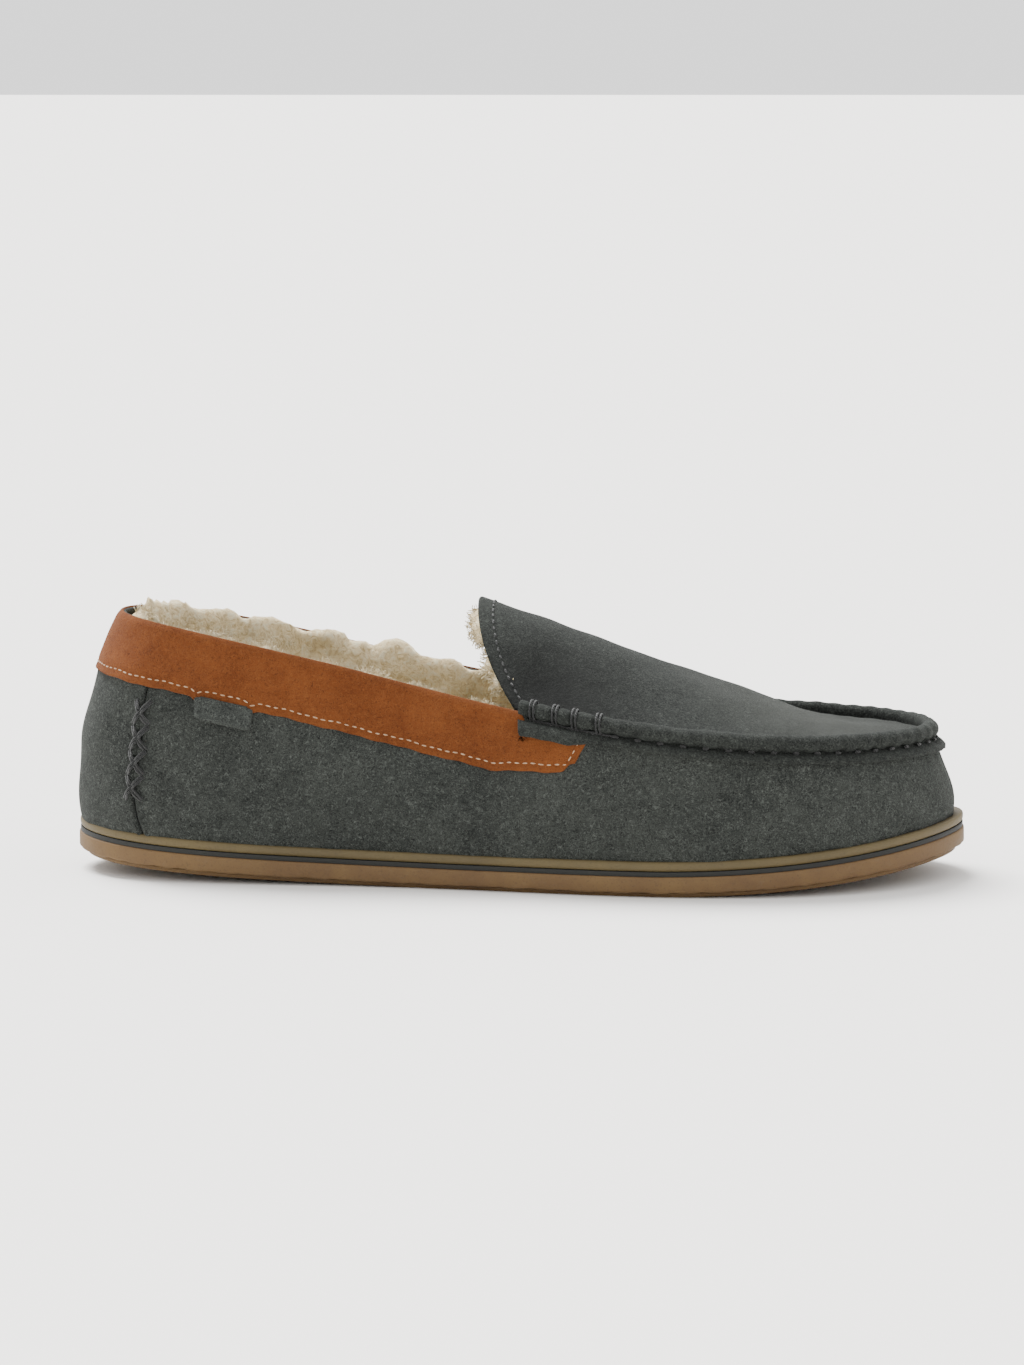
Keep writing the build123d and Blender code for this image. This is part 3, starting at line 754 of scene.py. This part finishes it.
def wallRelief(turn, z, seamed=True):
    # how far the leather stands off the last: swells, gathers, pulls at the sole and ridges at the seams
    spot = wallPoint(turn, z)
    x = spot[..., 0]
    run = (turn % 1.0) * ringLength
    relief = side["swell"] * ripple(spot, 46, 11) + 0.25 * ripple(spot, 17, 12)
    underWelt = np.exp(-np.maximum(topLine(x) - 5 - z, 0) / 4.5) * np.clip((x - 7) / 12, 0, 1)
    relief += side["gather"] * underWelt * np.cos(2 * np.pi * run / side["gatherPitch"])
    overSole = np.exp(-np.maximum(z - floorLine(x, soleTop), 0) / 3.0)
    relief += -0.55 * overSole + 0.3 * overSole * ripple(spot, 9, 13) * np.clip((x - 60) / 60, 0.25, 1)
    if not seamed:
        return relief
    away = seamDistance(turn, z)
    # the cross stitches draw the seam up between these two heights
    laced = np.clip((58 - z) / 3, 0, 1) * np.clip((z - 28) / 3, 0, 1)
    knot = laced * (0.5 + 0.5 * np.cos(2 * np.pi * (z - 34.9) / 8.2))
    lip = side["seamLip"] * np.exp(-(((away - 1.1) / 0.8) ** 2))
    relief += lip + side["seamKnot"] * knot * np.exp(-((away / 1.5) ** 2))
    relief -= side["seamGroove"] * np.exp(-((away / 0.45) ** 2)) * (1 - 0.6 * knot)
    return relief


def leatherPiece(name, node, grid, thick, material, centre=(0, 0, 10)):
    points, faces = shellMesh(grid, thick, centre)
    piece = makePiece(name, points, faces, material)
    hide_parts(node)
    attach(piece, "slipper")
    return piece


def soleSeat(x):
    return floorLine(x, soleTop - 0.1)


turn, z = wallGrid(side["rows"], side["columns"],
                   lambda z: seamOuter(z) + 0.0004, lambda z: seamInner(z) - 0.0004,
                   soleSeat, lambda x: topLine(x) - 0.4 - 2.6 * np.clip((x - 5.5) / 2, 0, 1))
leatherPiece("sideWrap", "side_wrap", wallPoint(turn, z, wallRelief(turn, z)),
             side["leather"], greySuede)
turn, z = wallGrid(56, 90, lambda z: seamOuter(z) - 0.0004, lambda z: seamInner(z) - 1.0 + 0.0004,
                   soleSeat, lambda x: topLine(x) - 0.4)
leatherPiece("heelPanel", "heel_panel", wallPoint(turn, z, wallRelief(turn, z)),
             side["leather"], greySuede)
print("sides made")


# tan collar band, folded over the top edge

band = {
    "width": 19.6, "frontX": 20.6, "lean": 0.55, "levelX": -5.0, "corner": 3.4, "leather": 1.3,
    "rows": 20, "columns": 420,
    "stitchUp": 1.9, "stitchPitch": 2.65, "stitchLength": 1.7, "stitchRadius": 0.26,
}
tab = {"x": -93.6, "length": 17.2, "height": 5.4, "thick": 1.8, "drop": 1.1}


def bandBottom(x):
    x = np.asarray(x, float)
    level = np.maximum(topLine(x), topLine(band["levelX"])) - band["width"]
    into = np.clip((x - (band["frontX"] - band["corner"])) / band["corner"], 0, 0.98)
    level = level + band["corner"] * (1 - np.sqrt(1 - into**2))
    for end in (-1, 1):  # the edge is drawn down a little at each end of the tab
        level = level - 0.9 * np.exp(-(((x - tab["x"] - end * (tab["length"] / 2 + 0.6)) / 1.3) ** 2))
    return level + 0.16 * np.sin(x / 3.1) + 0.12 * np.sin(x / 1.3 + 1.0)


def bandTop(x):
    return np.where(x > 5.0, topLine(x) - 3.7, topLine(x) + 0.25)


def bandFront(z, back=0.0):  # the band's end leans forward as it rises
    return band["frontX"] - back + band["lean"] * (z - 41.0)


frontOuter = heightTable(lambda z: turnAt(bandFront(z), z, -1))
frontInner = heightTable(lambda z: turnAt(bandFront(z), z, 1) - 1.0)
bandRows, bandCols = band["rows"], band["columns"]
turn, z = wallGrid(bandRows, bandCols, frontOuter, frontInner, bandBottom, bandTop)
x = lastPoint(turn, z)[..., 0]
lift = 1.35 + 0.22 * ripple(wallPoint(turn, z), 24, 21) + wallRelief(turn, z, False) * 0.6
lift -= 0.32 * np.exp(-(((z - bandBottom(x) - band["stitchUp"]) / 0.9) ** 2))  # pulled in along the stitches
turnedOver = 0.8 * np.clip(2.2 - (topLine(x) - z), 0, 3) ** 2 * 0.16  # the fold at the top edge
lift += 0.5 * np.exp(-np.maximum(topLine(x) - z, 0) / 2.0) - turnedOver
leatherPiece("collarBand", "collar_band", wallPoint(turn, z, lift), band["leather"], tanSuede)


def bandSkin(turn, z):  # height of the band's face off the last
    return 1.3 + 0.22 * ripple(wallPoint(turn, z), 24, 21) + wallRelief(turn, z, False) * 0.6


def bandStitchPath():
    low, inset = 43.0, 2.1
    start, end = turnAt(bandFront(low, inset), low, -1), turnAt(bandFront(low, inset), low, 1) - 1.0
    turns = np.linspace(start, end, 700)
    z = settle(turns, lambda x: bandBottom(np.minimum(x, band["frontX"] - 4)) + band["stitchUp"])
    path = wallPoint(turns, z, bandSkin(turns, z) - 0.2)
    rise = []
    for end, wall in ((0, -1), (-1, 1)):
        zs = np.linspace(path[end, 2] + 1.4, topLine(band["frontX"]) - 4.0, 12)
        flat = np.array([turnAt(bandFront(v, inset - 0.4), v, wall) for v in zs]) - (1.0 if wall > 0 else 0.0)
        rise.append(wallPoint(flat, zs, bandSkin(flat, zs) - 0.1))
    return [np.concatenate([rise[0][::-1], path, rise[1]])]


bandTopstitch = growOnPaths("bandTopstitch", bandStitchPath(), stitchTree, {
    "Pitch": band["stitchPitch"] * mm, "Length": band["stitchLength"] * mm,
    "Radius": band["stitchRadius"] * mm, "Seed": 3, "Material": paleYarn})
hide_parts("collar_topstitch")
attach(bandTopstitch, "slipper")
print("collar band made")


# apron, with its raised seam

apron = {"leather": 1.5, "rows": 110, "columns": 96, "rimInset": 2.6, "swell": 0.7, "gather": 0.3}
rimTurns = np.linspace(0.12, 0.88, 1200)
rimTop = wallPoint(rimTurns, settle(rimTurns, topLine))


def rimSides(x, inset=0.0):  # outer and inner side of the apron's plan at a station
    ring = wallPoint(rimTurns, rimTop[:, 2], -inset)
    tip = int(np.argmax(ring[:, 0]))
    outer = np.interp(x, ring[:tip + 1, 0], ring[:tip + 1, 1])
    inner = np.interp(x, ring[:tip - 1:-1, 0], ring[:tip - 1:-1, 1])
    return outer, inner, float(ring[tip, 0])


def apronHeight(x, y):
    outer, inner, _ = rimSides(np.clip(x, -60, 134))
    middle, half = (outer + inner) / 2, np.maximum((inner - outer) / 2, 1.0)
    turn = np.clip((y - middle) / half, -1, 1) * np.pi / 2
    return topLine(x) - 0.5 + crownRise(x) * np.cos(turn)


def apronGrid(inset, setBack, rows, cols):
    across = np.linspace(-1, 1, cols)
    share = np.linspace(0, 1, rows)
    along = np.sin(share * np.pi / 2)[:, None] * 0.35 + share[:, None] * 0.65  # closer rows at the toe
    _, _, tip = rimSides(np.array([0.0]), inset)
    rear = np.full(cols, -6.0)
    for _ in range(60):
        outer, inner, _ = rimSides(rear, inset)
        y = (outer + inner) / 2 + across * (inner - outer) / 2
        rear = rear * 0.5 + 0.5 * (tongueEdge(apronHeight(rear, y)) - setBack)
    x = rear[None, :] + (tip - 0.02 - rear[None, :]) * np.clip(along, 0, 1)
    outer, inner, _ = rimSides(x, inset)
    y = (outer + inner) / 2 + across[None, :] * (inner - outer) / 2
    return x, y, across, rear


def apronRelief(x, y):
    spot = np.stack([x, y, np.zeros_like(x)], -1)
    outer, inner, _ = rimSides(np.clip(x, -60, 134))
    edge = np.minimum(y - outer, inner - y)
    relief = apron["swell"] * ripple(spot, 52, 31) + 0.3 * ripple(spot, 21, 32)
    relief *= np.clip(edge / 14, 0, 1)
    nearRim = np.exp(-np.maximum(edge - 3, 0) / 4.5)
    relief += apron["gather"] * nearRim * np.cos(2 * np.pi * x / side["gatherPitch"])
    for sideSign in (-1, 1):  # the leather sinks in beside the foot of the tongue
        wall = np.where(sideSign < 0, outer, inner)
        relief -= 3.4 * np.exp(-(((x - 9) / 15) ** 2) - (((np.abs(y - wall) - 12) / 9) ** 2))
    return relief


x, y, across, rear = apronGrid(apron["rimInset"], 0.0, apron["rows"], apron["columns"])
z = apronHeight(x, y) + apronRelief(x, y)
fromEdge = np.clip((x - rear[None, :]) / 6.0, 0, 1)
z = z + 0.45 * (1 - fromEdge) * ripple(np.stack([y, y * 0, y * 0], -1), 16, 33)
apronTop = np.stack([x, y, z], -1)
leatherPiece("apronLeather", "apron", apronTop, apron["leather"], apronSuede, (30, 0, 0))

edgePath = apronTop[3, 2:-2] * 0.55 + apronTop[2, 2:-2] * 0.45 + np.array([0, 0, 0.15])
tongueTopstitch = growOnPaths("tongueTopstitch", [edgePath], stitchTree, {
    "Pitch": 0.0029, "Length": 0.002, "Radius": 0.00034, "Seed": 5, "Material": greyYarn})
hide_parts("tongue_topstitch")
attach(tongueTopstitch, "slipper")

welt = {
    # the seam's section: how far out from the wall, and how high from its top edge
    "section": [
        (-0.1, -4.1), (1.6, -4.8), (2.2, -4.3), (2.0, -3.1), (1.4, -2.2), (-0.9, -1.5), (0.9, -0.7),
        (1.6, 0.6), (1.45, 2.3), (0.4, 3.7), (-1.1, 4.3), (-2.6, 4.0), (-3.5, 2.8), (-3.6, 1.0),
        (-3.2, -0.8), (-1.6, -1.2),
    ],
    "columns": 620, "puff": 0.3, "hole": 1.3, "pinch": 1.3,
    "stitchPitch": 7.2, "firstHole": 9.9, "stitchLength": 2.3, "stitchRadius": 0.55,
    "tackX": [7.6, 14.8, 21.0, 28.6], "tackGap": 1.2, "tackRadius": 0.3, "overBand": 1.5, "dropBand": 1.9,
}
weltFrom, weltTo = turnAt(4.4, 58, -1), turnAt(4.4, 58, 1)
weltTurns = np.linspace(weltFrom, weltTo, welt["columns"])
weltX = lastPoint(weltTurns, settle(weltTurns, topLine))[:, 0]


def holePhase(run):  # 1 at each stitch hole, 0 between
    return 0.5 + 0.5 * np.cos(2 * np.pi * (run - welt["firstHole"]) / welt["stitchPitch"])


def weltPoint(turns, out, rise):
    base = settle(turns, topLine)
    point = wallPoint(turns, base + np.minimum(rise, 0), out)
    point[..., 2] = base + rise
    return point


def weltSection(turns):
    loop, _ = closedCurve(welt["section"], 26)
    run = (turns - weltFrom) * ringLength
    fat = 1 + 0.05 * ripple(np.stack([run, run * 0, run * 0], 1), 23, 41) - 0.07 * holePhase(run)
    tacked = [np.exp(-(((weltX - x - welt["tackGap"] / 2) / 1.1) ** 2)) for x in welt["tackX"]]
    pinched = sum(tacked) * welt["pinch"]
    overBand = np.clip((27 - weltX) / 7, 0, 1)
    rows = []
    for out, rise in loop:
        groove = math.exp(-(((rise + 1.4) / 0.9) ** 2)) if out > -0.5 else 0.0
        hole = holePhase(run) ** 3 * np.clip((weltX - 11) / 2, 0, 1)
        push = -welt["hole"] * groove * hole + (welt["puff"] * (1 - holePhase(run)) if rise > 0 else 0.0)
        centreOut, centreRise = -1.0, 1.2
        full = fat if rise > -1.4 else 1.0
        drawnIn = pinched * (0.8 if out > 0.2 and rise > -2 else 0.0)
        o = centreOut + (out - centreOut) * full + push - drawnIn
        h = centreRise + (rise - centreRise) * full - pinched * (rise > 1.5)
        ragged = 0.16 * ripple(np.stack([run, run * 0 + out, run * 0], 1), 6, 42) if rise < -3.0 else 0.0
        if rise < -1.9:  # at the back the lower edge lies over the end of the collar band
            o = o + overBand * welt["overBand"]
            h = h - overBand * welt["dropBand"] * min(1.0, -0.6 * (rise + 1.9))
        rows.append(weltPoint(turns, o * np.ones_like(run), h * np.ones_like(run) + ragged))
    return np.stack(rows, 1)


points, faces = sweepMesh(weltSection(weltTurns), 0.7)
raisedWelt = makePiece("raisedWelt", points, faces, weltSuede)
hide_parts("apron_welt")
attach(raisedWelt, "slipper")

firstHole = welt["firstHole"] / ringLength
stitchTurns = np.linspace(weltFrom + firstHole, weltTo - firstHole, 900)
stitchPath = weltPoint(stitchTurns, np.full(900, 0.5), np.full(900, -1.4))
weltStitch = growOnPaths("weltStitch", [stitchPath], stitchTree, {
    "Pitch": welt["stitchPitch"] * mm, "Length": welt["stitchLength"] * mm,
    "Radius": welt["stitchRadius"] * mm, "Seed": 6, "Material": blackYarn})
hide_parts("welt_stitches")
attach(weltStitch, "slipper")

tackPaths = []
over = curveThrough([
    (0.3, -1.7), (1.35, -0.6), (1.95, 1.2), (1.45, 3.3),
    (-0.2, 4.7), (-2.4, 4.8), (-4.0, 3.4), (-4.1, 0.9)], 18)
for x in welt["tackX"]:
    for wall, shift in ((-1, 0), (-1, welt["tackGap"]), (1, 0), (1, welt["tackGap"])):
        spot = turnAt(x + shift, 58, wall)
        tackPaths.append(weltPoint(np.full(18, spot), over[:, 0] * 1.02, over[:, 1] * 0.98))
for wall in (-1, 1):  # the thread that runs from tack to tack
    between = np.linspace(turnAt(8, 58, wall), turnAt(34, 58, wall), 20)
    tackPaths.append(weltPoint(between, np.full(20, 0.5), np.full(20, -1.4)))
barTacks = growOnPaths("barTacks", tackPaths, threadTree, {
    "Radius": welt["tackRadius"] * mm, "Sides": 8, "Material": blackYarn})
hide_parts("welt_bar_tacks")
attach(barTacks, "slipper")
print("apron and welt made")


# cross stitches over the heel seams

cross = {
    "count": 4, "lowZ": 30.8, "pitch": 8.2, "halfWide": 3.1, "halfHigh": 3.9, "strand": 0.9,
    "radius": 0.42, "lift": 1.3,
}


def crossPaths(table):
    paths = []
    for n in range(cross["count"]):
        middle = cross["lowZ"] + cross["pitch"] * n
        for way in (-1, 1):
            for strand in (-0.5, 0.5):
                share = np.linspace(-1, 1, 14)
                z = middle + share * cross["halfHigh"] + strand * cross["strand"] * 0.7
                across = way * share * cross["halfWide"] + strand * cross["strand"] * 0.7 * -way
                turn = table(z) + across / ringLength
                bulge = cross["lift"] * (1 - share**2) * (1.0 if way > 0 else 0.72) - 0.3 * share**4
                paths.append(wallPoint(turn, z, wallRelief(turn, z) * 0.5 + 0.35 + bulge))
    return paths


for name, node, table in (("crossStitchOuter", "heel_cross_stitch_outer", seamOuter),
                          ("crossStitchInner", "heel_cross_stitch_inner", seamInner)):
    stitch = growOnPaths(name, crossPaths(table), threadTree, {
        "Radius": cross["radius"] * mm, "Sides": 8, "Material": greyYarn})
    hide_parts(node)
    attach(stitch, "slipper")
print("cross stitches made")


# folded side tab, on its own body

tabTop = float(topLine(tab["x"])) - band["width"] - tab["drop"]
across, down = np.meshgrid(np.linspace(-1, 1, 40), np.linspace(0, 1, 16))
tabX = tab["x"] + across * tab["length"] / 2
slope = float(topLine(tab["x"] + 1) - topLine(tab["x"]))
tabZ = tabTop + slope * (tabX - tab["x"]) - down * (tab["height"] - 0.5)
tabX = tabX + (1 - down) * 0.25 * across
tabTurns = np.vectorize(lambda x, z: turnAt(x, z, -1))(tabX, tabZ)
towardsEdge = np.maximum(np.abs(across), np.abs(down * 2 - 1) * 0.98)
pressed = np.exp(-(((towardsEdge - 0.8) / 0.06) ** 2)) * 0.35  # a line pressed in along its edge
tabFace = wallPoint(tabTurns, tabZ, 2.6 + 0.9 * down**2 + 0.14 * np.cos(across * 7) * down - pressed)
points, faces = shellMesh(tabFace, tab["thick"], (-98, 0, 60))
sideTab = makePiece("sideTab", points, faces, tabSuede)
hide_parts("side_tab")
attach(sideTab, "side_tab")
print("side tab made")


# sheepskin lining and footbed

pile = {
    "density": 1500000.0, "length": 0.0027, "radius": 0.00015, "lean": 0.5, "clump": 150.0,
    "skin": 1.7, "depth": 5.6, "nearRise": 0.4, "farRise": 4.4, "clumpRise": 2.2, "curlRise": 0.9,
}


def turnedIn(spots, facing):  # how far each spot faces the middle of the shoe, and how far it faces up
    inward = np.stack([np.clip(spots[:, 0], -102, 60), np.zeros(len(spots))], 1) - spots[:, :2]
    inward /= np.maximum(np.linalg.norm(inward, axis=1, keepdims=True), 1e-6)
    return (facing[:, :2] * inward).sum(1), facing[:, 2]


def markShown(piece, rule):  # marks the points of a pad that carry locks, as rule picks them
    layer = piece.data.attributes.new("shown", "FLOAT", "POINT")
    spots = np.array([vertex.co for vertex in piece.data.vertices]) / mm
    facing = np.array([vertex.normal for vertex in piece.data.vertices])
    layer.data.foreach_set("value", rule(spots, *turnedIn(spots, facing)).astype(float))


def addTip(piece, value):
    layer = piece.data.attributes.new("tip", "FLOAT", "POINT")
    layer.data.foreach_set("value", [value] * len(piece.data.vertices))


def lumps(spots, size, seed):  # rounded lumps with creases between them, 0 to about 1
    return np.minimum(np.abs(ripple(spots, size, seed)), 1.2)


def curlSurface(piece, rule, seed):  # pushes the wool out in clumps, and each clump in small curls
    mesh = piece.data
    spots = np.array([vertex.co for vertex in mesh.vertices]) / mm
    facing = np.array([vertex.normal for vertex in mesh.vertices])
    amount = (lumps(spots, 27, seed) - 0.3) * pile["clumpRise"]
    amount = amount + (lumps(spots, 9, seed + 1) - 0.3) * pile["curlRise"]
    amount = amount + (lumps(spots, 4, seed + 2) - 0.3) * pile["curlRise"] * 0.5
    moved = spots + facing * (amount * rule(spots, *turnedIn(spots, facing)))[:, None]
    mesh.vertices.foreach_set("co", (moved * mm).ravel())
    mesh.update()


def inflate(piece, cap, steps=20):
    # fills a pad a little, as stuffing does: a copy is remeshed, blown up as cloth and held within the cap
    bpy.context.view_layer.objects.active = piece
    remesh = piece.modifiers.new("even", "REMESH")
    remesh.mode, remesh.voxel_size = "VOXEL", 0.0042
    evaluated = piece.evaluated_get(bpy.context.evaluated_depsgraph_get())
    even = bpy.data.meshes.new_from_object(evaluated)
    piece.modifiers.remove(remesh)
    copy = bpy.data.objects.new("padCopy", even)
    bpy.context.collection.objects.link(copy)
    start = np.array([v.co for v in even.vertices])
    cloth = copy.modifiers.new("fill", "CLOTH")
    cloth.settings.use_pressure, cloth.settings.uniform_pressure_force = True, 4.0
    cloth.settings.effector_weights.gravity = 0.0
    cloth.settings.quality = 6
    scene = bpy.context.scene
    for step in range(1, steps + 1):
        scene.frame_set(step)
    evaluated = copy.evaluated_get(bpy.context.evaluated_depsgraph_get())
    result = bpy.data.meshes.new_from_object(evaluated)
    moved = np.array([v.co for v in result.vertices]) - start
    size = np.linalg.norm(moved, axis=1, keepdims=True)
    moved *= np.minimum(1, cap * mm / np.maximum(size, 1e-9))
    copy.modifiers.remove(cloth)
    copy.data.vertices.foreach_set("co", (start + moved).ravel())
    copy.data.update()
    smooth = copy.modifiers.new("smooth", "SUBSURF")
    smooth.levels = smooth.render_levels = 1
    evaluated = copy.evaluated_get(bpy.context.evaluated_depsgraph_get())
    done = bpy.data.meshes.new_from_object(evaluated)
    bpy.data.objects.remove(copy)
    for face in done.polygons:
        face.use_smooth = True
    done.materials.clear()
    done.materials.append(piece.data.materials[0])
    piece.data = done
    scene.frame_set(1)


def pad(name, node, grid, thick, material, centre, cap=0.0, rim=5, rule=None, seed=50):
    points, faces = shellMesh(grid, thick, centre, rim)
    piece = makePiece(name, points, faces, material)
    if cap:
        inflate(piece, cap)
    if rule:
        curlSurface(piece, rule, seed)
    addTip(piece, 0.35)
    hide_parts(node)
    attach(piece, "slipper")
    return piece


def addPile(name, piece, rule, seed, density=1.0, length=1.0):
    markShown(piece, rule)
    locks = grow(name, piece, pileTree, {
        "Density": pile["density"] * density, "Length": pile["length"] * length, "Radius": pile["radius"],
        "Lean": pile["lean"], "Clump": pile["clump"], "Seed": seed, "Material": sheepWool})
    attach(locks, "slipper")
    print(name, len(locks.data.polygons), "faces")
    return locks


def floorGrid(inset, lift, rows=150, cols=44):
    half = np.linspace(0.0, 0.5, rows)
    level = 26.0
    outer, inner = wallPoint(half, level, -inset)[:, :2], wallPoint(1.0 - half, level, -inset)[:, :2]
    share = np.linspace(0, 1, cols)[None, :, None]
    flat = outer[:, None, :] * (1 - share) + inner[:, None, :] * share
    return np.concatenate([flat, floorLine(flat[..., 0], lift)[..., None]], -1)


pad("foamPad", "foam_pad", floorGrid(8.2, 19.6), 4.4, softFoam, (0, 0, -400), rim=3)
footbed = pad("footbedFleece", "fleece_footbed", floorGrid(8.8, 25.6), 5.0, sheepWool, (0, 0, -400),
              cap=2.5, rule=lambda p, turned, up: up > 0.4, seed=51)
print("footbed made")


def wallFaces(spots, turned, up):
    return (spots[:, 2] > 26) & ((turned > 0.25) | ((up > 0.3) & (turned > -0.1)))


collarFrom, collarTo = turnAt(0.0, 60, -1), turnAt(0.0, 60, 1)
turn, z = wallGrid(44, 300, lambda z: collarFrom + 0 * z, lambda z: collarTo - 1.0 + 0 * z,
                   lambda x: floorLine(x, 17.5), lambda x: topLine(x) - 2.6)
standing = np.clip(0.5 - turn * 14, 0, 1)  # the pile stands up higher on the inner side
standing = pile["nearRise"] + (pile["farRise"] - pile["nearRise"]) * standing
standing = standing + 0.7 * ripple(wallPoint(turn, z), 60, 50)
z = z + np.linspace(0, 1, 44)[:, None] ** 2 * standing
collarFleece = pad("collarFleece", "quarter_lining", wallPoint(turn, z, -pile["skin"] - 0.8),
                   pile["depth"] - 0.8, sheepWool, (-60, 0, 40), cap=0.5, rule=wallFaces, seed=54)
vampFrom, vampTo = turnAt(1.5, 60, -1), turnAt(1.5, 60, 1)
turn, z = wallGrid(20, 260, lambda z: vampFrom + 0 * z, lambda z: vampTo + 0 * z,
                   lambda x: floorLine(x, 17.5), lambda x: topLine(x) - 6.4)
vampFleece = pad("vampFleece", "wrap_lining", wallPoint(turn, z, -pile["skin"] - 0.2), pile["depth"] - 0.2,
                 sheepWool, (60, 0, 30))
x, y, across, rear = apronGrid(8.6, 0.6, 80, 60)
under = np.stack([x, y, apronHeight(x, y) + apronRelief(x, y)], -1)
under = under - gridNormals(under, (30, 0, 0)) * (apron["leather"] + 0.5)
tongueFleece = pad("tongueFleece", "apron_lining", under, 4.8, sheepWool, (30, 0, 0), cap=1.0,
                   rule=lambda p, turned, up: up < 0.2, seed=60)
print("lining made")


def vampFaces(spots, turned, up):  # the stretch of the front lining that can be seen from the opening
    x, z = spots[:, 0], spots[:, 2]
    return (turned > 0.5) & (x < 40) & (z > 28) & (z < 50)


addPile("collarPileOuter", collarFleece, lambda p, turned, up: wallFaces(p, turned, up) & (p[:, 1] < 0), 61)
addPile("collarPileInner", collarFleece, lambda p, turned, up: wallFaces(p, turned, up) & (p[:, 1] >= 0), 62)
addPile("footbedPile", footbed, lambda p, turned, up: (p[:, 0] < 20) & (up > 0.4), 63, 0.7, 0.8)
addPile("tonguePile", tongueFleece, lambda p, turned, up: (p[:, 0] < 14) & (up < 0.3), 64, 0.9, 0.9)
addPile("vampPile", vampFleece, vampFaces, 65, 0.4)
print("pile grown")

for node, material in (("insole_board", fibreBoard), ("heel_counter", stiffSheet), ("toe_puff", stiffSheet),
                       ("lasting_strip", greySuede), ("bottom_filler", greyFelt)):
    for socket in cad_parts[node].material_slots:
        socket.material = material


# floor, light and camera

studio = {
    "aim": (-0.0023, 0.0, 0.0630), "yaw": 5.0, "elevation": 7.0, "distance": 1.6, "lens": 127.1,
    "sky": 1.62, "sun": 8.9, "floor": rgb(240, 238, 235),
}
floorMesh = bpy.data.meshes.new("studioFloor")
reach = 300.0
corners = [(-reach, -reach, 0), (reach, -reach, 0), (reach, reach, 0), (-reach, reach, 0)]
floorMesh.from_pydata(corners, [], [(0, 1, 2, 3)])
floorMaterial, net, place = newMaterial("studioPaper")
tone = net.noise(place, 3, 2)
paper = net.mix(tone * 0.1, studio["floor"], rgb(230, 229, 227))
finishMaterial(net, paper, 0.9, tone, (0.02, 0.001), {"Specular IOR Level": 0.1})
floorMesh.materials.append(floorMaterial)
floorPiece = bpy.data.objects.new("studioFloor", floorMesh)
bpy.context.collection.objects.link(floorPiece)

world = bpy.data.worlds.new("studioSky")
bpy.context.scene.world = world
world.use_nodes = True
net = Net(world.node_tree)
sky = net.node("ShaderNodeBackground", None, {"Color": (1.0, 1.0, 1.0, 1.0), "Strength": studio["sky"]})
net.node("ShaderNodeOutputWorld", None, {"Surface": sky})


def addSun(name, strength, spread, way):  # way points from the light towards the slipper
    light = bpy.data.lights.new(name, "SUN")
    light.energy, light.angle = strength, math.radians(spread)
    lamp = bpy.data.objects.new(name, light)
    x, y, z = way
    size = math.sqrt(x * x + y * y + z * z)
    lamp.rotation_euler = (math.acos(-z / size), 0, math.atan2(y, x) - math.pi / 2)
    bpy.context.collection.objects.link(lamp)


addSun("keySun", studio["sun"], 34, (0.4, -0.45, -1.0))

yaw, tilt = math.radians(studio["yaw"]), math.radians(studio["elevation"])
aim = studio["aim"]
spot = (aim[0] + studio["distance"] * math.sin(yaw) * math.cos(tilt),
        aim[1] - studio["distance"] * math.cos(yaw) * math.cos(tilt),
        aim[2] + studio["distance"] * math.sin(tilt))
camera = bpy.data.objects.new("camera", bpy.data.cameras.new("camera"))
camera.data.lens, camera.data.sensor_width, camera.data.sensor_fit = studio["lens"], 36.0, "AUTO"
camera.data.clip_end = 1000.0
camera.location = spot
camera.rotation_euler = (math.pi / 2 - tilt, 0, yaw)
bpy.context.collection.objects.link(camera)
bpy.context.scene.camera = camera
print("studio made")
